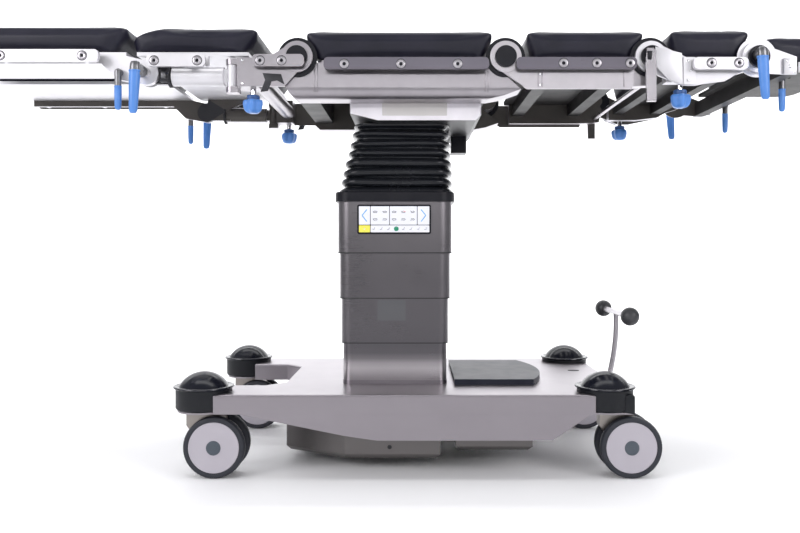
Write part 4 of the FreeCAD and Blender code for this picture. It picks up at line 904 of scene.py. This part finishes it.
GRIPS = [
    # piece, body, hub (centre x and z, radius, near and far depth), top, lean, big or small
    ("knee_grip_", "knee_lever_", (-519, 841, 12.4, 271.5, 296), (-525, -294, 858), -4.5, True),
    ("head_grip_", "head_lever_", (750, 872, 12.4, 279.6, 304), (748, -302, 885), 7.0, True),
    ("calf_grip_", "calf_lever_", (-567, 840, 7.4, 262.6, 275), (-567, -274.5, 845), 0, False),
    ("tilt_grip_", "head_tilt_lever_", (850, 856, 7.4, 157, 171.5), (850, -164, 860), 0, False),
]


def lever(name, body, hub, top, lean, big, mirror):
    part = Part()
    cap, grip = (BIG_CAP, BIG_GRIP) if big else (SMALL_CAP, SMALL_GRIP)
    part.add(hanging(cap, top, lean * cap[-1][1] / grip[-1][1]), dark_steel, mirror)
    part.add(hanging(grip, top, lean), grip_blue, mirror)
    x, z, radius, near, far = hub
    boss = [(0, 0), (radius - 1.2, 0), (radius, 1.2), (radius, far - near - 1.2),
            (radius - 1.2, far - near), (0, far - near)]
    part.add(turned(boss, (x, -near, z), "Y", 32), dark_steel, mirror)
    part.ride(name, body, "grip_blue", body)


def make_levers(side, mirror):
    for name, body, *shape in GRIPS:
        lever(name + side, body + side, *shape, mirror)


front_and_rear(make_levers)
print("levers:", 2 * len(GRIPS))

# %% Lobed knobs
def lobes(angle, height):
    return 0.96 + 0.12 * math.cos(5 * (angle + math.pi / 2))


KNOB = [(0, 0), (9, 0.4), (14, 2.6), (17.4, 7), (19.2, 13), (20.2, 19), (20.0, 24.5),
        (17.6, 27.6), (13.4, 28.6)]
KNOB_COLLAR = [(13.4, 28.2), (13.0, 30), (13.6, 31.5), (13.6, 36), (12.6, 37.6), (6, 37.8)]
KNOB_STEM = [(6, 37), (6, 52)]
grip_dark = moulded("grip_dark", (0.03, 0.09, 0.26), 0.4)


def make_knobs(side, mirror):
    for name in ("leg_knob_", "back_knob_"):
        low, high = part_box(name + "front")
        middle = (low + high) / 2 / MM
        foot = (middle.x, middle.y, low.z / MM)
        part = Part()
        part.add(turned(KNOB, foot, "Z", 60, lobes), grip_blue, mirror)
        part.add(turned(KNOB_COLLAR, foot, "Z", 40), grip_dark, mirror)
        part.add(turned(KNOB_STEM, foot, "Z", 24), chrome, mirror)
        part.ride(name + "cover_" + side, name + side, "grip_blue", name + side)


front_and_rear(make_knobs)

# %% [markdown]
# ## Dark sides
# Seen from the front, the inner faces of the far beams and the boards under the pads lie in
# shade. Faces that look inwards or lie between the beams get near-black finishes as painted
# shade, one like black laminate and one like dull anodised metal.

# %% Painted shade on the boards, on inward faces and under the head box
underside_painted_shade = moulded("underside_painted_shade", (0.012, 0.011, 0.012), 0.5, grain=1300.0, cloud=0.02, shine=0.3)
inward_painted_shade = blasted("inward_painted_shade", (0.085, 0.078, 0.072), 0.5, metallic=0.5)
INNER = {"seat_frame": 194.0, "back_frame": 235.0, "upper_frame": 235.0, "head_frame": 240.0}

# Everything between the beams: painted shade.
for node, inside in INNER.items():
    dressed(node, underside_painted_shade, lambda middle, normal: abs(middle.y) < inside)
# Faces that look inwards, towards the middle of the table: painted shade.
for node in ("seat_frame", "back_frame", "upper_frame", "head_frame", "leg_bracket",
             "leg_arm_front", "leg_arm_rear", "calf_frame_front", "calf_frame_rear",
             "seat_rails", "back_rails", "release_bar"):
    dressed(node, inward_painted_shade, lambda middle, normal: normal.y * middle.y < -0.5 * abs(middle.y)
            and abs(middle.y) > 190)
# Downward faces of the head box get dark metal as painted shade; all of it below 752 mm gets dark
# metal too, and its socket box black plastic.
dressed("head_box", dark_metal, lambda middle, normal: normal.z < -0.7 or middle.z < 752)
dressed("head_box", black_plastic, lambda middle, normal: middle.x > 133.0 and middle.z < 752)
dressed("base_underboxes", sheet_steel, lambda middle, normal: abs(middle.y) > 276.0)

# %% Rubber corners of the base, discs and caps of the joints
dressed("base_cover", bumper_skirt, lambda middle, normal: middle.x > 466.0
        and abs(middle.y) > 262.0 and middle.z > 139.4)
painted("back_rails", black_plastic, (490.5, -264.4, 830), (573.5, -261.9, 914))
for node, x in (("back_rails", 532.0), ("upper_frame", 753.0)):
    painted(node, black_plastic, (x - 22.5, -279.2, 849), (x + 22.5, -264.3, 895))
painted("leg_arm_front", dark_metal, (-540, -247.5, 812), (-480, -233, 884), both_sides=False)
painted("leg_arm_rear", dark_metal, (-540, -247.5, 812), (-480, -233, 884))

# %% [markdown]
# ## The control panel
# A membrane keypad in a black frame: two wide arrow cells, two groups of function cells and a
# row with a yellow cell and a green light. An image would need a texture; here each cell is a
# thin plate of film, and each sign a few raised strokes that only keep its place and size.

# %% Panel cells
PANEL_LEFT, PANEL_RIGHT, PANEL_LOW, PANEL_HIGH, PANEL_FACE = -79.0, 77.0, 511.0, 569.5, -163.25
film_white = moulded("film_white", (0.82, 0.83, 0.90), 0.38, grain=500.0, cloud=0.01, edge=0.2)
film_yellow = moulded("film_yellow", (0.86, 0.80, 0.10), 0.38, grain=500.0, cloud=0.02, edge=0.2)
ink_blue = moulded("ink_blue", (0.05, 0.36, 0.75), 0.4, cloud=0.02, edge=0)
ink_black = moulded("ink_black", (0.02, 0.02, 0.03), 0.45, cloud=0.02, edge=0)
ink_red = moulded("ink_red", (0.65, 0.06, 0.07), 0.45, cloud=0.02, edge=0)
lamp_green = moulded("lamp_green", (0.01, 0.25, 0.13), 0.3, coat=0.4, cloud=0.02, edge=0)
wide, high = PANEL_RIGHT - PANEL_LEFT, PANEL_HIGH - PANEL_LOW
COLUMNS = [PANEL_LEFT + wide * share for share in (0, 0.165, 0.435, 0.825, 1)]
SHELF = PANEL_LOW + high * 0.285
FILM_GAP, FILM_CORNER, FILM_PROUD, INK_PROUD, SUNK = 0.7, 1.2, 0.45, 0.12, 0.05
panel = Part()


def cell(left, right, low, high, finish):
    outline = rounded_box(left + FILM_GAP, right - FILM_GAP, low + FILM_GAP, high - FILM_GAP,
                          FILM_CORNER, 3)
    panel.add(plate(outline, "XZ", PANEL_FACE - FILM_PROUD, FILM_PROUD + SUNK), finish)


def bar(x, z, length, thick, turn, finish=ink_black):
    """A short stroke centred on x, z."""
    c, s = math.cos(math.radians(turn)), math.sin(math.radians(turn))
    ends = [(-length / 2, -thick / 2), (length / 2, -thick / 2), (length / 2, thick / 2),
            (-length / 2, thick / 2)]
    outline = [(x + u * c - v * s, z + u * s + v * c) for u, v in ends]
    panel.add(plate(outline, "XZ", PANEL_FACE - FILM_PROUD - INK_PROUD, INK_PROUD + SUNK), finish)


print("panel %.0f x %.0f mm" % (wide, high))

# %% The keys and their signs
for left, right in zip(COLUMNS, COLUMNS[1:]):
    cell(left, right, SHELF, PANEL_HIGH, film_white)
cell(COLUMNS[0], COLUMNS[1], PANEL_LOW, SHELF, film_yellow)
cell(COLUMNS[1], COLUMNS[4], PANEL_LOW, SHELF, film_white)
for side, (left, right) in ((-1, COLUMNS[0:2]), (1, COLUMNS[3:5])):
    middle, level = (left + right) / 2, (SHELF + PANEL_HIGH) / 2
    for slope in (-1, 1):
        bar(middle, level + slope * 6.6, 16.5, 1.9, slope * side * -52, ink_blue)
for column, count in ((1, 2), (2, 3)):
    left, right = COLUMNS[column], COLUMNS[column + 1]
    for place in range(count):
        x = left + (right - left) * (place + 0.5) / count
        for level, share in ((0.70, 1), (0.28, -1)):
            z = SHELF + (PANEL_HIGH - SHELF) * level
            bar(x, z - 2.0 * share, 9.0 - place, 1.1, 0)
            bar(x - 2.5, z + 0.6 * share, 5.2, 1.1, 24 * share * (1 - place))
            bar(x + 2.5, z + 0.6 * share, 5.2, 1.1, -20 * share * (place + 1) / 2,
                ink_red if (column, place, share) == (2, 1, 1) else ink_black)
for place in range(8):
    x, z = COLUMNS[1] + (COLUMNS[4] - COLUMNS[1]) * (place + 0.5) / 8, (PANEL_LOW + SHELF) / 2
    if place == 3:
        panel.add(turned([(5.2, -0.1), (5.2, 0.9), (4.4, 1.2), (0, 1.25)],
                         (x, PANEL_FACE - 0.4, z), "Y", 32), lamp_green)
    else:
        bar(x - 1.2, z - 1.2, 5.0, 0.8, 15 * (place % 3 - 1))
        bar(x + 1.0, z + 1.6, 3.4, 0.8, 70 - 25 * (place % 4))
x, z = (COLUMNS[0] + COLUMNS[1]) / 2, (PANEL_LOW + SHELF) / 2
bar(x, z, 4.5, 1.0, 90, film_white)
bar(x, z, 4.5, 1.0, 0, film_white)
panel.ride("panel_cells", "column_head", "panel_film")
print("panel cells from X %.0f to %.0f" % (PANEL_LEFT, PANEL_RIGHT))

# %% [markdown]
# ## Plates, seams and screws
# These small things give the scale of the rest. Each is a shape that stands a few tenths of a
# millimetre proud of the face that it is fixed to.

# %% Bare plates on the column and the head box
bare_plate = brushed("bare_plate", (0.16, 0.16, 0.17), 0.34, (30, 1500, 1500), edge=0)
pale_plate = moulded("pale_plate", (0.58, 0.56, 0.55), 0.4, cloud=0.01)


def bare_sign(name, body, slot, left, right, low, high, face, finish, thick=0.6):
    outline = rounded_box(left, right, low, high, 1.5, 4)
    Part().add(plate(outline, "XZ", face - thick, thick + 0.1), finish).ride(name, body, slot)


bare_sign("column_plate", "lift_stage_2", "stainless", -38, 24, 317, 362, -153.0, bare_plate,
          0.2)
bare_sign("head_box_plate", "seat", "cast_aluminium", -26, 114, 763, 801, -193.0, pale_plate)
head_screws = Part()
for x in (-83.0, 150.0):
    cap_screw(head_screws, x, 796.0, -193.0, 3.0, 0.8, finish=dark_metal)
head_screws.ride("head_box_screws", "seat", "chromed")
print("a plate on the column and one on the head box")

# %% Screws of the rails
SCREW_ROWS = {
    # body: height, places along X
    "seat": (853, (-100, 16, 132)),
    "back": (854.5, (348, 416, 484)),
    "upper_back": (855, (650, 706)),
    "leg_carrier": (860, (-272, -228)),
    "calf_front": (870, (-635, -802, -968)),
    "leg_front": (860, (-488, -400)),
}


def screw_row(name, body, z, places, mirror):
    screws = Part()
    for x in places:
        socket_screw(screws, x, z, mirror)
    screws.ride("rail_screws_" + name, body, "chromed")


for body, (z, places) in SCREW_ROWS.items():
    screw_row(body + "_front", body, z, places, False)
    if body.endswith("_front"):
        rear = body.replace("front", "rear")
        screw_row(rear, rear, z, places, True)
    else:
        screw_row(body + "_rear", body, z, places, True)
print("screws in", len(SCREW_ROWS), "rows")

# %% Weld seams and screws on the cast beams
seams = Part()
for x in (-164.0, -158.0, 191.0, 197.0):
    seams.both(block((x - 1.4, -263.2, 800), (x + 1.4, -261.5, 861), 0.6), cast_grey)
seams.ride("seat_beam_seams", "seat", "cast_aluminium")
back_seams = Part()
for x in (299.0, 307.0):
    back_seams.both(block((x - 1.2, -271.4, 810), (x + 1.2, -270.0, 840), 0.5), cast_grey)
back_seams.both(block((475, -271.3, 810), (477.4, -270.0, 861), 0.5), cast_grey)
for z in (814, 836):
    cap_pair(back_seams, 303, z, -270.5, 1.8, 0.9)
back_seams.ride("back_side_seams", "back", "cast_aluminium")
upper = Part()
for x, z in ((606, 822), (606, 862), (613, 842)):
    cap_pair(upper, x, z, -276.0, 2.6, 0.8)
upper.ride("clamp_screws", "upper_back", "chromed")
bracket = Part()
for z in (865, 817):
    cap_pair(bracket, -312, z, -270.5, 2.6, 0.8)
bracket.ride("bracket_screws", "leg_carrier", "chromed")
print("seams on the seat and back beams, cap screws on the clamps")

# %% Windows in the release bars and marks on the base
windows = Part()
outline = rounded_outline([(520, 862, 1.5), (528, 862, 1.5), (530, 880, 1.5), (519, 880, 1.5)], 4)
windows.both(plate(outline, "XZ", -288.5, 0.7, 0.2), black_plastic)
windows.ride("release_windows", "release", "black_plastic")

base_marks = Part()
oval_lid = [(435 + 14 * math.cos(turn), 55 + 9 * math.sin(turn))
            for turn in np.linspace(0, 2 * math.pi, 33)[:-1]]
base_marks.add(plate(oval_lid, "XY", 175.9, 1.1, 0.4), black_plastic)
base_marks.add(turned([(4.6, -0.2), (4.6, 0.6), (3.6, 1.0), (3.2, 0.2), (0, 0.2)],
                      (-9.3, -220, 54), "Y", 24), dark_metal)
base_marks.ride("base_marks", "base", "black_plastic")
print("plates, seams and screws are on")

# %% [markdown]
# ## Seals of the column
# Each travelling cover wipes the next one with a thin black seal at its lower edge. The dark
# line where one cover ends is partly its shadow, and each seal, a black ring in the gap, also
# draws that shadow as painted shade. A low steel skirt of the same kind covers the joint between
# the column and the base.

# %% Wiper seals, black rings that also draw painted shade
seal_rubber_painted_shade = moulded("seal_rubber_painted_shade", (0.02, 0.02, 0.022), 0.5, cloud=0.02, edge=0)


SEAL_HALF, SEAL_STEP, SEAL_WALL, SEAL_HIGH, SEAL_CORNER = (114.5, 148.5), 4.0, 3.1, 2.2, 19.5
SKIRT_OUTER, SKIRT_INNER = (115.9, 149.9, 20.5), (114.0, 148.0, 19.5)


def box_ring(half_wide, half_deep, corner, height):
    return [(x, y, height) for x, y in rounded_box(-half_wide, half_wide, -half_deep, half_deep,
                                                   corner, 8)]


def box_tunnel(first, second, high, low):
    """A ring between two boxes (half width, half depth, corner)."""
    return joined([box_ring(*first, high), box_ring(*first, low), box_ring(*second, low),
                   box_ring(*second, high)], closed=True)


def seal(step, high):
    """A ring below the cover of one step, between its wall and the next cover inside it."""
    outer = [half + SEAL_STEP * step for half in SEAL_HALF]
    inner = [half - SEAL_WALL for half in outer]
    return box_tunnel((*inner, SEAL_CORNER), (*outer, SEAL_CORNER), high, high - SEAL_HIGH)


for step, (body, high) in enumerate((("lift_stage_2", 268.3), ("lift_stage_3", 367.5),
                                     ("column_head", 467.7)), 1):
    Part().add(seal(step, high), seal_rubber_painted_shade).ride("wiper_seal_painted_shade_%d" % step, body,
                                                   "black_plastic")
skirt = box_tunnel(SKIRT_OUTER, SKIRT_INNER, 185, 176)
Part().add(skirt, sheet_steel).ride("column_skirt", "base", "stainless")
print("three wiper seals and the skirt")

# %% [markdown]
# ## Painted shade on the bracket, clamps and the knee
# The leg bracket carries a thin dark sheet in the outline of the shade on its curved
# connection, which is painted shade; the upper back section a pale clamp cover, and the head
# plate a pair of socket clamps. At the knee a toothed ring locks the angle of the calf.

# %% Painted shade on the bracket, clamp covers and toothed rings
def on_face(pixels, depth):
    """Places read off the photograph (x, y in pixels) as X and Z on the face at this depth."""
    reach = (depth * MM - EYE.y) / FOCAL_PIXELS / MM
    return [(EYE.x / MM + (x - VANISHING[0]) * reach, EYE.z / MM + (VANISHING[1] - y) * reach)
            for x, y in pixels]


# Outline of the shade on the bracket's curved connection, drawn as a dark sheet: painted shade.
CLAW_PAINTED_SHADE = [(262.5, 73), (281, 74), (284.5, 84.5), (277, 80.5), (271.5, 81.5), (268, 91), (260.5, 92),
        (265, 80)]
CLAMP_COVER = [(655.5, 46.5), (682, 53), (683, 84.5), (668, 79), (655.5, 66)]
claw_shades, covers, sockets = Part(), Part(), Part()
claw_shades.both(plate(on_face(CLAW_PAINTED_SHADE, -271.2), "XZ", -271.4, 1.0, 0.3), dark_metal)
claw_shades.ride("bracket_claws", "leg_carrier", "dark_metal")
covers.both(plate(on_face(CLAMP_COVER, -279.8), "XZ", -279.8, 0.6, 0.2), plate_grey)
covers.ride("clamp_covers", "upper_back", "cast_aluminium")
sockets.both(block((804, -277.5, 834), (830, -272.3, 868), 0.8), plate_grey)
sockets.both(block((834, -276, 839), (852, -272.3, 860), 0.8), plate_grey)
for x, z, size in ((810, 862, 1.8), (824, 840, 1.8), (817, 851, 4.2)):
    cap_pair(sockets, x, z, -277.5, size, 0.8)
sockets.ride("head_socket_clamps", "head", "cast_aluminium")


def teeth(angle, height):
    return 1.0 if math.sin(28 * angle) > 0 else 0.93


def make_knee(side, mirror):
    ring, faces = turned([(12, 0), (22, 0), (22.6, 0.8), (22.6, 5), (22, 5.8), (12, 5.8)],
                         (0, 0, 0), "Z", 112, teeth)
    knee = Part()
    knee.add(([(-468 + z, -250 + x, 834.5 + y) for x, y, z in ring], faces), dark_metal, mirror)
    knee.add(block((-486, -261, 822), (-468, -247.5, 850), 2.0), dark_metal, mirror)
    knee.add(block((-482, -263.5, 829), (-472, -260.5, 843), 0.8), dark_steel, mirror)
    knee.ride("knee_ring_" + side, "leg_" + side, "dark_metal")


front_and_rear(make_knee)
print("claws, clamps and knee rings are on")

# %% [markdown]
# ## The studio
# The photograph is lit like a catalogue picture: a white sweep behind and below, a large soft
# lamp over the table, two soft lamps at the front corners, and one narrow lamp between them
# that is seen only as a band in the steel. The room in front stays dim. That is why the beams
# above, which mirror the lamps, are bright. The upright column is mid grey and the far frames
# nearly black from this light and also from painted reflection and shade in their colours.

# %% Sweep, sky and lamps
def studio_sweep():
    wide, near, far, bend, high = 30.0, -30.0, 4.2, 2.5, 9.0
    line = [(near, 0.0), (far, 0.0)]
    line += [(far + bend * math.sin(turn), bend * (1 - math.cos(turn)))
             for turn in np.linspace(0.1, math.pi / 2, 14)]
    line.append((far + bend, high))
    mesh = bpy.data.meshes.new("studio_sweep")
    points = [(side, y, z) for y, z in line for side in (-wide, wide)]
    faces = [(2 * i, 2 * i + 1, 2 * i + 3, 2 * i + 2) for i in range(len(line) - 1)]
    mesh.from_pydata(points, [], faces)
    mesh.polygons.foreach_set("use_smooth", [True] * len(faces))
    sweep = placed("studio_sweep", mesh)
    paper = Finish("paper", (0.94, 0.94, 0.95), roughness=0.6, specular_ior_level=0.2)
    mesh.materials.append(paper.material)


def lamp(name, place, aim, size, power, colour=(1, 1, 1)):
    light = bpy.data.lights.new(name, "AREA")
    light.shape, light.size, light.size_y = "RECTANGLE", *size
    light.energy, light.color = power, colour
    stand = placed(name, light)
    stand.location = place
    stand.rotation_euler = (Vector(aim) - Vector(place)).to_track_quat("-Z", "Y").to_euler()


studio_sweep()
lamp("lamp_over", (0.0, 0.1, 3.2), (0, 0.1, 0.5), (3.6, 2.4), 80)
lamp("lamp_left", (-2.9, -2.6, 1.75), (-0.3, 0, 0.8), (1.9, 1.3), 62, (1.0, 0.98, 1.0))
lamp("lamp_right", (2.7, -2.6, 1.7), (0.4, 0, 0.8), (1.5, 1.2), 44, (1.0, 0.98, 1.0))
lamp("lamp_middle", (0.1, -3.3, 1.36), (0, 0, 0.9), (2.6, 0.16), 12)
lamp("lamp_behind", (0.0, 3.0, 3.6), (0, 5.4, 0.4), (12.0, 1.8), 520)

world = bpy.data.worlds.new("room")
world.use_nodes = True
backdrop = world.node_tree.nodes["Background"]
backdrop.inputs["Color"].default_value = (0.95, 0.97, 1.0, 1)
backdrop.inputs["Strength"].default_value = 0.38
bpy.context.scene.world = world
bpy.context.scene.view_settings.view_transform = "Standard"
bpy.context.scene.view_settings.look = "None"
print("studio ready")
